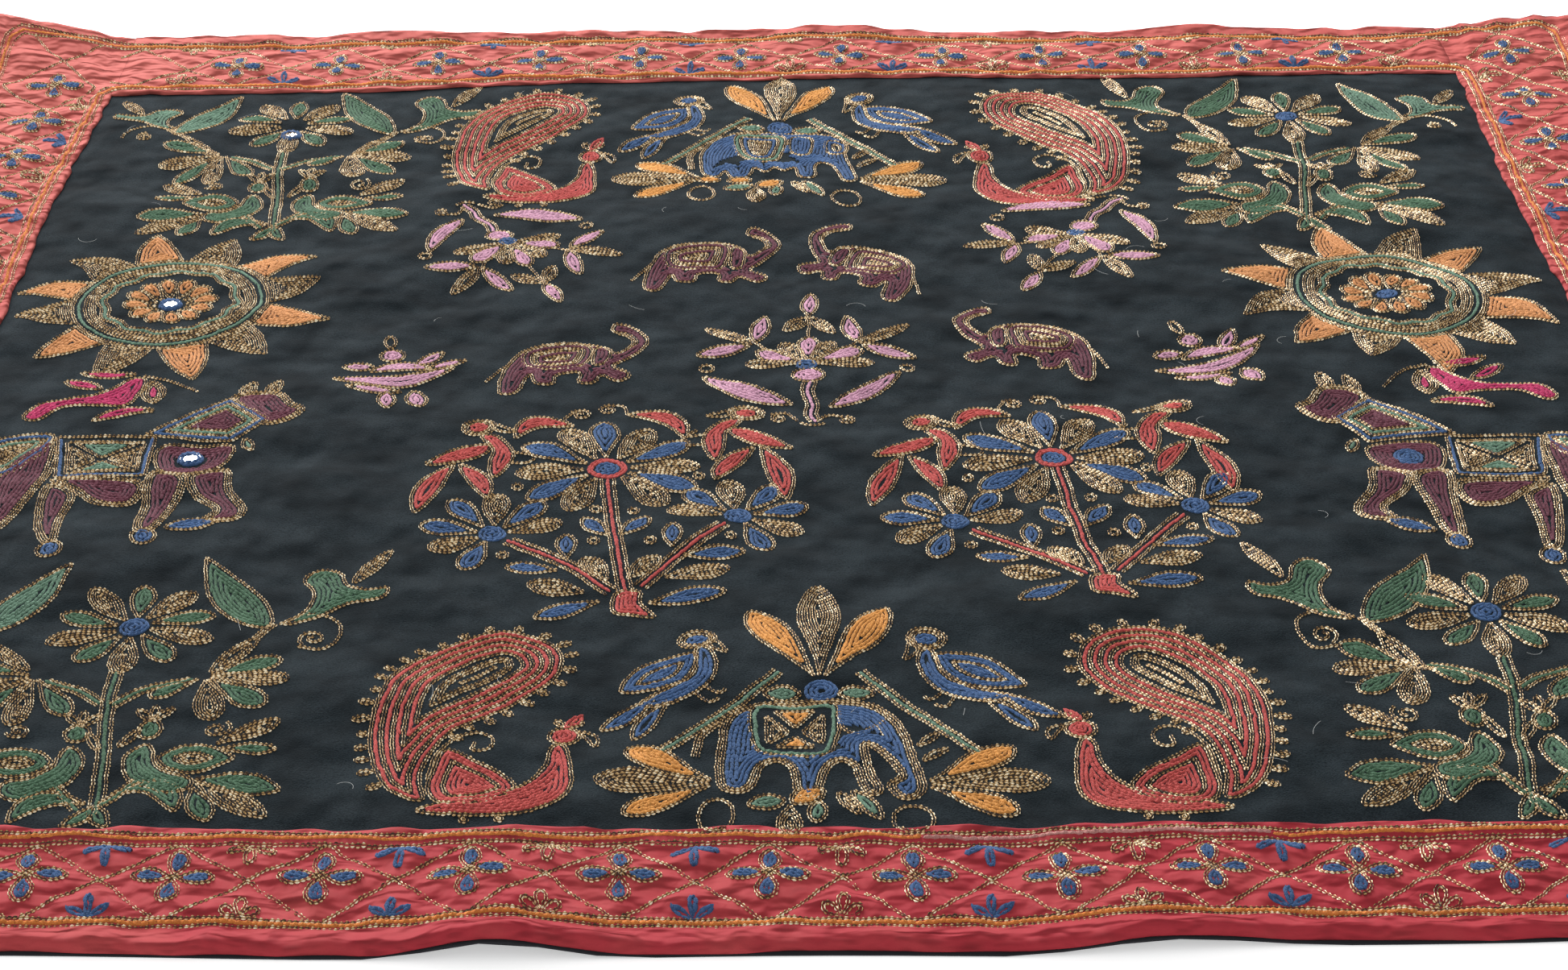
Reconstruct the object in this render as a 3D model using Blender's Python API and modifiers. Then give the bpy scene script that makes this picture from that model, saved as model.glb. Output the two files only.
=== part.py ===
"""Embroidered wall hanging, lying open on a flat surface.

A dark ground panel lies on a thin lining. Four red border strips lap the edges of
the panel, and three small round mirrors lie on it. All the sheets share one set of
plan lines and one ripple function, so that the layers stay parallel everywhere.

Metres, +Z up. The origin is on the underside, in the middle of the hanging, with
the lower end of its design towards -Y.
"""

import math

import bmesh
import bpy

# Plan of the hanging, flat
HALF_WIDTH = 0.550
FRONT_EDGE = -0.517
BACK_EDGE = 0.516
SIDE_INNER = 0.4535
FRONT_INNER = -0.4325
BACK_INNER = 0.4305
HEM_WIDTH = 0.012

# The panel runs on under the border, which rises over the panel's edge
PANEL_LAP = 0.008
LAP_CLEARANCE = 0.001
RISE_RUN = 0.0035
STRIP_GAP = 0.0004
LINING_INSET = 0.0015
LINING_SHOW = 0.001

# Thickness of the cloths, and the air between two layers
LINING_THICK = 0.0010
PANEL_THICK = 0.0013
BORDER_THICK = 0.0016
HEM_THICK = 0.0026
LAYER_GAP = 0.0003

# Mirrors sewn to the panel: where they lie on the flat plan
MIRROR_RADIUS = 0.0055
MIRROR_THICK = 0.0008
MIRROR_SIDES = 24
MIRRORS = {
    "mirror_sun": (-0.359, 0.087),
    "mirror_plant": (-0.323, 0.350),
    "mirror_horse": (-0.315, -0.099),
}

# Cells between the inner edges of the border
CELLS_ACROSS = 30
CELLS_ALONG = 23
LINE_MERGE = 0.002

# How the cloth was pulled out of square, and how much its edges wander
SKEW = 0.012
SAG = 0.015
SAG_START = -0.140
SAG_END = -0.310
BACK_SHARE = 0.40
FRONT_PULL = 0.010
FRONT_PULL_START = 0.080
FRONT_PULL_END = 0.220
EDGE_WANDER = 0.0016
WANDER_WAVE = 0.37

# Ripples: centre x and y, heading in degrees, reach along and across it, height
RIPPLE_FLOOR = 0.0004
RIPPLES = [
    # lifts of the front edge
    (-0.121, -0.545, 90, 0.070, 0.024, 0.0098),
    (0.158, -0.545, 90, 0.070, 0.030, 0.0066),
    (-0.425, -0.545, 90, 0.050, 0.036, 0.0050),
    (0.395, -0.545, 80, 0.045, 0.040, 0.0040),
    # curled back corner on the left, lifted one on the right
    (-0.565, 0.545, 45, 0.052, 0.052, 0.0280),
    (0.530, 0.545, 90, 0.060, 0.050, 0.0140),
    # waves of the back edge
    (-0.255, 0.545, 90, 0.040, 0.040, 0.0060),
    (-0.120, 0.545, 95, 0.045, 0.038, 0.0035),
    (0.030, 0.545, 85, 0.055, 0.040, 0.0050),
    (0.280, 0.545, 90, 0.045, 0.036, 0.0050),
    # crosswise waves of the side strips
    (-0.560, 0.255, 0, 0.060, 0.036, 0.0050),
    (-0.560, 0.030, 5, 0.055, 0.038, 0.0040),
    (-0.560, -0.215, 0, 0.060, 0.038, 0.0045),
    (0.560, 0.330, 0, 0.055, 0.036, 0.0045),
    (0.560, 0.120, -5, 0.060, 0.038, 0.0050),
    (0.560, -0.115, 5, 0.055, 0.038, 0.0040),
    (0.560, -0.330, 0, 0.060, 0.038, 0.0045),
    # soft waves of the panel, left half
    (-0.215, -0.146, 10, 0.050, 0.034, 0.0042),
    (-0.235, -0.055, -28, 0.060, 0.032, 0.0032),
    (-0.235, 0.130, 24, 0.052, 0.032, 0.0040),
    (-0.210, 0.235, 0, 0.045, 0.032, 0.0028),
    (-0.345, -0.205, -42, 0.055, 0.032, 0.0034),
    (-0.205, -0.335, -18, 0.055, 0.034, 0.0032),
    (-0.415, 0.205, 0, 0.045, 0.032, 0.0030),
    # soft waves of the panel, middle
    (-0.045, 0.200, 12, 0.085, 0.032, 0.0036),
    (0.110, 0.385, 0, 0.055, 0.034, 0.0034),
    (0.105, -0.265, 4, 0.085, 0.032, 0.0040),
    (-0.020, -0.220, -34, 0.045, 0.032, 0.0028),
    # soft waves of the panel, right half
    (0.245, 0.150, -52, 0.060, 0.032, 0.0040),
    (0.265, 0.050, -48, 0.048, 0.034, 0.0032),
    (0.245, -0.050, 30, 0.050, 0.032, 0.0034),
    (0.245, -0.215, -10, 0.055, 0.034, 0.0034),
    (0.235, -0.360, 12, 0.070, 0.032, 0.0036),
    (0.425, 0.225, 0, 0.045, 0.032, 0.0028),
]

# Plain colours of the pieces, and their roughness
LINING_BLACK = (0.020, 0.018, 0.020)
GROUND_DARK = (0.030, 0.034, 0.038)
BORDER_RED = (0.330, 0.045, 0.050)
MIRROR_GREY = (0.640, 0.670, 0.690)
CLOTH_ROUGHNESS = 0.90
MIRROR_ROUGHNESS = 0.08


def ripple(u, v):
    """Height of the lining's underside over the surface at a point of the plan."""
    height = 0.0
    for centre_u, centre_v, heading, along, across, crest in RIPPLES:
        turn = math.radians(heading)
        du = u - centre_u
        dv = v - centre_v
        run = (du * math.cos(turn) + dv * math.sin(turn)) / along
        off = (dv * math.cos(turn) - du * math.sin(turn)) / across
        height += crest * math.exp(-0.5 * (run * run + off * off))
    return max(0.0, height - RIPPLE_FLOOR)


def eased(value, start, end):
    """0 at the start and 1 at the end, with a soft rise between."""
    share = min(1.0, max(0.0, (value - start) / (end - start)))
    return share * share * (3.0 - 2.0 * share)


def back_pull(u, v):
    """How far the back half was pulled: up at the right, down at the left corner."""
    if v <= 0.0:
        return 0.0
    share = (v / BACK_INNER) ** 2
    if v > BACK_INNER:
        share = 1.0 - (1.0 - BACK_SHARE) * (v - BACK_INNER) / (BACK_EDGE - BACK_INNER)
    return share * (SKEW * u / SIDE_INNER - SAG * eased(u, SAG_START, SAG_END))


def front_pull(u, v):
    """How far the right half of the front edge was drawn in."""
    if v >= 0.0:
        return 0.0
    return FRONT_PULL * eased(u, FRONT_PULL_START, FRONT_PULL_END) * (v / FRONT_EDGE) ** 4


def lay(u, v):
    """Where a point of the flat plan comes to lie, seen from above."""
    turn = 2.0 * math.pi / WANDER_WAVE
    x = u + EDGE_WANDER * math.sin(turn * v + 0.6) * abs(u) / HALF_WIDTH
    y = v + EDGE_WANDER * math.sin(turn * u + 1.1) * abs(v) / BACK_EDGE
    y += back_pull(u, v) + front_pull(u, v)
    return x, y


def border_lines(inner, outer):
    """Plan lines across a border strip, from its inner to its outer edge."""
    width = abs(outer - inner)
    rise_top = PANEL_LAP + LAP_CLEARANCE
    rise_foot = rise_top + RISE_RUN
    hem = width - HEM_WIDTH
    steps = [0.0, rise_top, rise_foot, (rise_foot + hem) / 2.0, hem, width]
    side = math.copysign(1.0, outer - inner)
    return [inner + side * step for step in steps]


def plan_lines(low_edge, low_inner, high_inner, high_edge, cells):
    """All plan lines in one direction, from the low edge to the high edge."""
    step = (high_inner - low_inner) / cells
    middle = [low_inner + step * i for i in range(1, cells)]
    low = border_lines(low_inner, low_edge)
    return low[::-1] + middle + border_lines(high_inner, high_edge)


def lines_between(lines, low, high):
    """The plan lines that a piece from low to high needs, its own edges first and last."""
    inside = [line for line in lines if low + LINE_MERGE < line < high - LINE_MERGE]
    return [low] + inside + [high]


U_LINES = plan_lines(-HALF_WIDTH, -SIDE_INNER, SIDE_INNER, HALF_WIDTH, CELLS_ACROSS)
V_LINES = plan_lines(FRONT_EDGE, FRONT_INNER, BACK_INNER, BACK_EDGE, CELLS_ALONG)


def over_panel(u, v):
    """1 where the border lies on the panel, 0 outside it, with a slope between."""
    rise_top = PANEL_LAP + LAP_CLEARANCE
    outside = max(
        abs(u) - SIDE_INNER - rise_top,
        FRONT_INNER - rise_top - v,
        v - BACK_INNER - rise_top,
    )
    return min(1.0, max(0.0, 1.0 - outside / RISE_RUN))


def in_hem(u, v):
    """Whether a point of the border is in the turned hem round its outer edge."""
    short = HEM_WIDTH - LINE_MERGE
    return abs(u) > HALF_WIDTH - short or v < FRONT_EDGE + short or v > BACK_EDGE - short


def lining_underside(u, v):
    """Underside of the lining, the lowest cloth."""
    return ripple(u, v)


def panel_underside(u, v):
    """Underside of the ground panel, on the lining."""
    return ripple(u, v) + LINING_THICK + LAYER_GAP


def border_underside(u, v):
    """Underside of the border strips, on the lining and on the panel's edge."""
    step = PANEL_THICK + LAYER_GAP
    return ripple(u, v) + LINING_THICK + LAYER_GAP + step * over_panel(u, v)


def plain_material(name, colour, roughness, metallic=0.0):
    """A plain material in one colour."""
    material = bpy.data.materials.new(name)
    material.use_nodes = True
    shader = material.node_tree.nodes["Principled BSDF"]
    shader.inputs["Base Color"].default_value = (*colour, 1.0)
    shader.inputs["Roughness"].default_value = roughness
    shader.inputs["Metallic"].default_value = metallic
    return material


def sheet_object(name, u_lines, v_lines, underside, collection):
    """An open grid of triangles on the plan lines, laid to its underside."""
    across = len(u_lines) - 1
    along = len(v_lines) - 1
    grid = bmesh.new()
    bmesh.ops.create_grid(grid, x_segments=across, y_segments=along, size=1.0)
    plan = []
    for vertex in grid.verts:
        u = u_lines[round((vertex.co.x + 1.0) / 2.0 * across)]
        v = v_lines[round((vertex.co.y + 1.0) / 2.0 * along)]
        x, y = lay(u, v)
        vertex.co = (x, y, underside(u, v))
        plan.append((u, v))
    bmesh.ops.triangulate(grid, faces=grid.faces[:], quad_method="FIXED")
    mesh = bpy.data.meshes.new(name)
    grid.to_mesh(mesh)
    grid.free()
    mesh.shade_smooth()
    sheet = bpy.data.objects.new(name, mesh)
    collection.objects.link(sheet)
    return sheet, plan


def thicken(sheet, thickness):
    """Give a sheet its thickness, upwards from its underside."""
    shell = sheet.modifiers.new("thickness", "SOLIDIFY")
    shell.thickness = thickness
    shell.offset = 1.0
    return shell


def make_lining(collection, material):
    """The thin lining, which shows as a dark line under the front hem."""
    u_lines = lines_between(U_LINES, LINING_INSET - HALF_WIDTH, HALF_WIDTH - LINING_INSET)
    v_lines = lines_between(V_LINES, FRONT_EDGE - LINING_SHOW, BACK_EDGE - LINING_INSET)
    lining, _ = sheet_object("lining", u_lines, v_lines, lining_underside, collection)
    lining.data.materials.append(material)
    thicken(lining, LINING_THICK)


def make_ground_panel(collection, material):
    """The dark panel that carries the embroidery."""
    half = SIDE_INNER + PANEL_LAP
    u_lines = lines_between(U_LINES, -half, half)
    v_lines = lines_between(V_LINES, FRONT_INNER - PANEL_LAP, BACK_INNER + PANEL_LAP)
    panel, _ = sheet_object("ground_panel", u_lines, v_lines, panel_underside, collection)
    panel.data.materials.append(material)
    thicken(panel, PANEL_THICK)


def make_border_strip(name, u_range, v_range, collection, material):
    """One red border strip, thicker along the turned hem of its outer edges."""
    u_lines = lines_between(U_LINES, *u_range)
    v_lines = lines_between(V_LINES, *v_range)
    strip, plan = sheet_object(name, u_lines, v_lines, border_underside, collection)
    strip.data.materials.append(material)
    folds = strip.vertex_groups.new(name="folds")
    for index, (u, v) in enumerate(plan):
        share = 1.0 if in_hem(u, v) else BORDER_THICK / HEM_THICK
        folds.add([index], share, "REPLACE")
    shell = thicken(strip, HEM_THICK)
    shell.vertex_group = folds.name


def make_border(collection, material):
    """The side strips run the full length, and the end strips butt between them."""
    whole = (FRONT_EDGE, BACK_EDGE)
    end = SIDE_INNER - STRIP_GAP
    make_border_strip("border_left", (-HALF_WIDTH, -SIDE_INNER), whole, collection, material)
    make_border_strip("border_right", (SIDE_INNER, HALF_WIDTH), whole, collection, material)
    make_border_strip("border_front", (-end, end), (FRONT_EDGE, FRONT_INNER), collection, material)
    make_border_strip("border_back", (-end, end), (BACK_INNER, BACK_EDGE), collection, material)


def make_mirrors(collection, material):
    """The small round mirrors, flat on the panel."""
    for name, (u, v) in MIRRORS.items():
        x, y = lay(u, v)
        under = panel_underside(u, v) + PANEL_THICK + LAYER_GAP
        bpy.ops.mesh.primitive_cylinder_add(
            vertices=MIRROR_SIDES,
            radius=MIRROR_RADIUS,
            depth=MIRROR_THICK,
            location=(x, y, under + MIRROR_THICK / 2.0),
        )
        mirror = bpy.context.object
        mirror.name = name
        for other in mirror.users_collection:
            other.objects.unlink(mirror)
        collection.objects.link(mirror)
        mirror.data.materials.append(material)


def main():
    for item in list(bpy.data.objects):
        bpy.data.objects.remove(item)
    hanging = bpy.data.collections.new("embroidered_wall_hanging")
    bpy.context.scene.collection.children.link(hanging)
    make_lining(hanging, plain_material("lining_cotton", LINING_BLACK, CLOTH_ROUGHNESS))
    make_ground_panel(hanging, plain_material("ground_cloth", GROUND_DARK, CLOTH_ROUGHNESS))
    make_border(hanging, plain_material("border_cloth", BORDER_RED, CLOTH_ROUGHNESS))
    make_mirrors(hanging, plain_material("mirror_glass", MIRROR_GREY, MIRROR_ROUGHNESS, 1.0))


main()
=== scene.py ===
import math
from collections import defaultdict

import bpy
import numpy as np
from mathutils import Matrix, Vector


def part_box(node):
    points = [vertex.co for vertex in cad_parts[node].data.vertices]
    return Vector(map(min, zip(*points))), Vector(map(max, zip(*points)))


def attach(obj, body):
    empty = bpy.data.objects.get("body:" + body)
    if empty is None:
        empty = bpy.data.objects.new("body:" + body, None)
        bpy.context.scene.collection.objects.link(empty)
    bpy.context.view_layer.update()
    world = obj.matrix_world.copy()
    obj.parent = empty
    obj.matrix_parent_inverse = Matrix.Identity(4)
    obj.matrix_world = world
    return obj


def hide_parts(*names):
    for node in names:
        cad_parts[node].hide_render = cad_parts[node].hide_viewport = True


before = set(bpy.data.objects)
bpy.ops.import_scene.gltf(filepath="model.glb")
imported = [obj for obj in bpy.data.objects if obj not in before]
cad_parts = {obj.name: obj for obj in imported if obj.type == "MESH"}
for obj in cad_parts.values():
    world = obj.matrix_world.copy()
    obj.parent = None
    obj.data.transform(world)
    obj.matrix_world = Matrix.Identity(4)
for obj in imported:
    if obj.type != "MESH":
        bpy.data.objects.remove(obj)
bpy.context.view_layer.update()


# Lining: one thin dark cotton cloth behind the whole hanging. It lies on the
# surface in the same soft ripples as the cloths over it, and its cut edge shows
# as a dark line under the hems.
HALF_WIDTH = 0.550
FRONT_EDGE = -0.517
BACK_EDGE = 0.516
SIDE_INNER = 0.4535
FRONT_INNER = -0.4325
BACK_INNER = 0.4305
LINING_INSET = 0.0015
LINING_SHOW = 0.001
LINING_THICK = 0.0010
LAYER_GAP = 0.0003
LINING_CELL = 0.012
LINING_COLOUR = (0.012, 0.012, 0.014)

# How the cloth was pulled out of square, and how much its edges wander
SKEW = 0.012
SAG = 0.015
SAG_START = -0.140
SAG_END = -0.310
BACK_SHARE = 0.40
FRONT_PULL = 0.010
FRONT_PULL_START = 0.080
FRONT_PULL_END = 0.220
EDGE_WANDER = 0.0016
WANDER_WAVE = 0.37

# Ripples: centre x and y, heading in degrees, reach along and across it, height
RIPPLE_FLOOR = 0.0004
RIPPLES = [
    # lifts of the front edge
    (-0.121, -0.545, 90, 0.070, 0.024, 0.0098),
    (0.158, -0.545, 90, 0.070, 0.030, 0.0066),
    (-0.425, -0.545, 90, 0.050, 0.036, 0.0050),
    (0.395, -0.545, 80, 0.045, 0.040, 0.0040),
    # curled back corner on the left, lifted one on the right
    (-0.565, 0.545, 45, 0.052, 0.052, 0.0280),
    (0.530, 0.545, 90, 0.060, 0.050, 0.0140),
    # waves of the back edge
    (-0.255, 0.545, 90, 0.040, 0.040, 0.0060),
    (-0.120, 0.545, 95, 0.045, 0.038, 0.0035),
    (0.030, 0.545, 85, 0.055, 0.040, 0.0050),
    (0.280, 0.545, 90, 0.045, 0.036, 0.0050),
    # crosswise waves of the side strips
    (-0.560, 0.255, 0, 0.060, 0.036, 0.0050),
    (-0.560, 0.030, 5, 0.055, 0.038, 0.0040),
    (-0.560, -0.215, 0, 0.060, 0.038, 0.0045),
    (0.560, 0.330, 0, 0.055, 0.036, 0.0045),
    (0.560, 0.120, -5, 0.060, 0.038, 0.0050),
    (0.560, -0.115, 5, 0.055, 0.038, 0.0040),
    (0.560, -0.330, 0, 0.060, 0.038, 0.0045),
    # soft waves of the panel, left half
    (-0.215, -0.146, 10, 0.050, 0.034, 0.0042),
    (-0.235, -0.055, -28, 0.060, 0.032, 0.0032),
    (-0.235, 0.130, 24, 0.052, 0.032, 0.0040),
    (-0.210, 0.235, 0, 0.045, 0.032, 0.0028),
    (-0.345, -0.205, -42, 0.055, 0.032, 0.0034),
    (-0.205, -0.335, -18, 0.055, 0.034, 0.0032),
    (-0.415, 0.205, 0, 0.045, 0.032, 0.0030),
    # soft waves of the panel, middle
    (-0.045, 0.200, 12, 0.085, 0.032, 0.0036),
    (0.110, 0.385, 0, 0.055, 0.034, 0.0034),
    (0.105, -0.265, 4, 0.085, 0.032, 0.0040),
    (-0.020, -0.220, -34, 0.045, 0.032, 0.0028),
    # soft waves of the panel, right half
    (0.245, 0.150, -52, 0.060, 0.032, 0.0040),
    (0.265, 0.050, -48, 0.048, 0.034, 0.0032),
    (0.245, -0.050, 30, 0.050, 0.032, 0.0034),
    (0.245, -0.215, -10, 0.055, 0.034, 0.0034),
    (0.235, -0.360, 12, 0.070, 0.032, 0.0036),
    (0.425, 0.225, 0, 0.045, 0.032, 0.0028),
]


def ripple(u, v):
    """Height of the lining's underside over the surface, on the flat plan."""
    height = np.zeros(np.shape(u))
    for centre_u, centre_v, heading, along, across, crest in RIPPLES:
        turn = math.radians(heading)
        du = u - centre_u
        dv = v - centre_v
        run = (du * math.cos(turn) + dv * math.sin(turn)) / along
        off = (dv * math.cos(turn) - du * math.sin(turn)) / across
        height += crest * np.exp(-0.5 * (run * run + off * off))
    return np.maximum(0.0, height - RIPPLE_FLOOR)


def eased(value, start, end):
    """0 at the start and 1 at the end, with a soft rise between."""
    share = np.clip((value - start) / (end - start), 0.0, 1.0)
    return share * share * (3.0 - 2.0 * share)


def lay(u, v):
    """Where a point of the flat plan comes to lie, seen from above."""
    turn = 2.0 * math.pi / WANDER_WAVE
    x = u + EDGE_WANDER * np.sin(turn * v + 0.6) * np.abs(u) / HALF_WIDTH
    y = v + EDGE_WANDER * np.sin(turn * u + 1.1) * np.abs(v) / BACK_EDGE
    behind = np.clip((v - BACK_INNER) / (BACK_EDGE - BACK_INNER), 0.0, None)
    share = np.where(v > BACK_INNER, 1.0 - (1.0 - BACK_SHARE) * behind, (v / BACK_INNER) ** 2)
    back_pull = share * (SKEW * u / SIDE_INNER - SAG * eased(u, SAG_START, SAG_END))
    front_pull = FRONT_PULL * eased(u, FRONT_PULL_START, FRONT_PULL_END) * (v / FRONT_EDGE) ** 4
    return x, y + np.where(v > 0.0, back_pull, front_pull)


def plan_lines(*stops, cell):
    """Plan lines through the stops, with an even number of cells in all."""
    lines = [stops[0]]
    for low, high in zip(stops, stops[1:]):
        count = max(1, round((high - low) / cell))
        lines += list(np.linspace(low, high, count + 1)[1:])
    if len(lines) % 2 == 0:
        lines.insert(1, (lines[0] + lines[1]) / 2.0)
    return np.array(lines)


def squares(grid):
    """The four corners of each square of a grid of point numbers."""
    corners = (grid[:-1, :-1], grid[:-1, 1:], grid[1:, 1:], grid[1:, :-1])
    return np.stack(corners, axis=-1).reshape(-1, 4).tolist()


def cloth(name, u, v, top, under):
    """A closed thin sheet over a grid of plan points; its under face is coarser."""
    low_u, low_v = u[::2, ::2], v[::2, ::2]
    upper = np.arange(u.size).reshape(u.shape)
    lower = u.size + np.arange(low_u.size).reshape(low_u.shape)
    places = []
    for plan_u, plan_v, height in ((u, v, top), (low_u, low_v, under)):
        x, y = lay(plan_u, plan_v)
        places.append(np.stack([x, y, height(plan_u, plan_v)], axis=-1).reshape(-1, 3))
    faces = squares(upper) + squares(lower[:, ::-1])
    rims = (
        (upper[0], lower[0]),
        (upper[:, -1], lower[:, -1]),
        (upper[-1, ::-1], lower[-1, ::-1]),
        (upper[::-1, 0], lower[::-1, 0]),
    )
    for edge, foot in rims:
        for k in range(len(foot) - 1):
            a, b, c = (int(point) for point in edge[2 * k : 2 * k + 3])
            d, e = int(foot[k]), int(foot[k + 1])
            faces += [(a, d, b), (b, d, e), (b, e, c)]
    mesh = bpy.data.meshes.new(name)
    mesh.from_pydata(np.vstack(places).tolist(), [], faces)
    mesh.shade_smooth()
    piece = bpy.data.objects.new(name, mesh)
    bpy.context.scene.collection.objects.link(piece)
    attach(piece, "root")
    return piece


def add_node(tree, kind, sockets, **settings):
    """A shader node, with each named socket set to a value or joined to another socket."""
    node = tree.nodes.new(kind)
    for name, value in settings.items():
        setattr(node, name, value)
    for name, value in sockets.items():
        if isinstance(value, bpy.types.NodeSocket):
            tree.links.new(value, node.inputs[name])
        else:
            node.inputs[name].default_value = value
    return node


def calculate(tree, operation, first, second=0.5):
    """A Math node's result."""
    return add_node(tree, "ShaderNodeMath", {0: first, 1: second}, operation=operation).outputs[0]


def blend_colours(tree, amount, first, second, blend="MIX"):
    """A mix of two colours."""
    sockets = {0: amount, 6: first, 7: second}
    node = add_node(tree, "ShaderNodeMix", sockets, data_type="RGBA", blend_type=blend)
    return node.outputs[2]


def new_group(name, inputs, outputs):
    """An empty node group with named number or vector sockets."""
    group = bpy.data.node_groups.new(name, "ShaderNodeTree")
    for label, kind in inputs.items():
        group.interface.new_socket(label, in_out="INPUT", socket_type=kind)
    for label, kind in outputs.items():
        group.interface.new_socket(label, in_out="OUTPUT", socket_type=kind)
    return group, group.nodes.new("NodeGroupInput"), group.nodes.new("NodeGroupOutput")


NUMBER = "NodeSocketFloat"
VECTOR = "NodeSocketVector"

# Patches: soft uneven areas over a cloth, such as fading or felting
patches, given, put_out = new_group(
    "patches",
    {"Place": VECTOR, "Stretch": VECTOR, "Size": NUMBER, "Contrast": NUMBER, "Detail": NUMBER},
    {"Value": NUMBER},
)
spread = add_node(
    patches,
    "ShaderNodeVectorMath",
    {0: given.outputs["Place"], 1: given.outputs["Stretch"]},
    operation="MULTIPLY",
)
per_metre = calculate(patches, "DIVIDE", 1.0, given.outputs["Size"])
cloudy = add_node(
    patches,
    "ShaderNodeTexNoise",
    {
        "Vector": spread.outputs[0],
        "Scale": per_metre,
        "Detail": given.outputs["Detail"],
        "Roughness": 0.6,
    },
)
centred = calculate(patches, "SUBTRACT", cloudy.outputs[0], 0.5)
scaled = calculate(patches, "MULTIPLY", centred, given.outputs["Contrast"])
patches.links.new(calculate(patches, "ADD", scaled, 0.5), put_out.inputs["Value"])

# Plain weave: threads over and under each other along both axes
plain_weave, given, put_out = new_group(
    "plain_weave", {"Place": VECTOR, "Pitch": NUMBER}, {"Height": NUMBER}
)
apart = add_node(plain_weave, "ShaderNodeSeparateXYZ", {0: given.outputs["Place"]})
turns = calculate(plain_weave, "DIVIDE", 2.0 * math.pi, given.outputs["Pitch"])
warp = calculate(plain_weave, "SINE", calculate(plain_weave, "MULTIPLY", apart.outputs[0], turns))
weft = calculate(plain_weave, "SINE", calculate(plain_weave, "MULTIPLY", apart.outputs[1], turns))
plain_weave.links.new(calculate(plain_weave, "MULTIPLY", warp, weft), put_out.inputs["Height"])


def group_value(tree, group, sockets):
    """The first result of a node group placed in a material."""
    return add_node(tree, "ShaderNodeGroup", sockets, node_tree=group).outputs[0]


def patchy(tree, place, size, contrast, stretch=(1, 1, 1), detail=3.0):
    """Soft uneven areas of the given size in metres, with values about one half."""
    sockets = {"Place": place, "Stretch": stretch, "Size": size, "Contrast": contrast}
    sockets["Detail"] = detail
    return group_value(tree, patches, sockets)


def new_material(name, **sockets):
    """A material with its Principled sockets set, its tree, shader and places in metres."""
    material = bpy.data.materials.new(name)
    material.use_nodes = True
    tree = material.node_tree
    shader = tree.nodes["Principled BSDF"]
    for label, value in sockets.items():
        shader.inputs[label.replace("_", " ").title().replace("Ior", "IOR")].default_value = value
    place = tree.nodes.new("ShaderNodeTexCoord").outputs["Object"]
    return material, tree, shader, place


def set_bump(tree, shader, height, distance, strength=1.0):
    """Feed a height to the shader's normal."""
    sockets = {"Height": height, "Distance": distance, "Strength": strength}
    bump = add_node(tree, "ShaderNodeBump", sockets)
    tree.links.new(bump.outputs[0], shader.inputs["Normal"])


lining_cotton, tree, shader, place = new_material(
    "lining_cotton", roughness=0.9, specular_ior_level=0.1
)
fade = patchy(tree, place, 0.05, 1.4)
dark = (*LINING_COLOUR, 1)
light = (*(2.0 * value for value in LINING_COLOUR), 1)
tree.links.new(blend_colours(tree, fade, dark, light), shader.inputs["Base Color"])
weave = group_value(tree, plain_weave, {"Place": place, "Pitch": 0.0009})
set_bump(tree, shader, weave, 0.0001, 0.6)


def lining_top(u, v):
    """Upper face of the lining."""
    return ripple(u, v) + LINING_THICK


lining_u = plan_lines(-HALF_WIDTH + LINING_INSET, HALF_WIDTH - LINING_INSET, cell=LINING_CELL)
lining_v = plan_lines(FRONT_EDGE - LINING_SHOW, BACK_EDGE - LINING_INSET, cell=LINING_CELL)
lining = cloth("lining_cloth", *np.meshgrid(lining_u, lining_v), lining_top, ripple)
lining.data.materials.append(lining_cotton)
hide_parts("lining")


# Ground panel: near-black felted wool that carries the embroidery. It lies on
# the lining, its edges run on under the border, and the dense stitching draws it
# up in small creases round the motifs and along the border.
PANEL_THICK = 0.0013
PANEL_LAP = 0.008
PANEL_CELL = 0.005
SEARCH_ROUNDS = 4
UNEVEN_CELLS = 64
PANEL_DARK = (0.0046, 0.0074, 0.0094)
PANEL_LIGHT = (0.0180, 0.0256, 0.0305)
FOLD_HEIGHT = 0.0013
CREASE_HEIGHT = 0.0004
CREST_HEIGHT = 0.0022
CREST_WIDTH = 0.45
DRAW_HEIGHT = 0.0009
DRAW_REACH = 0.035
LEAST_LOFT = 0.0008
FLAT_ROUND_MIRROR = (0.009, 0.022)
NAP_DEPTH = 0.0060
MIRROR_NODES = ("mirror_sun", "mirror_plant", "mirror_horse")
mirror_spots = {}
for name in MIRROR_NODES:
    low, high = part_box(name)
    mirror_spots[name] = np.array([(low[0] + high[0]) / 2.0, (low[1] + high[1]) / 2.0])


def flat_plan(x, y):
    """The point of the flat plan that comes to lie at a place: the inverse of lay."""
    u, v = np.array(x), np.array(y)
    for _ in range(SEARCH_ROUNDS):
        laid_x, laid_y = lay(u, v)
        u = u + x - laid_x
        v = v + y - laid_y
    return u, v


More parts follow.
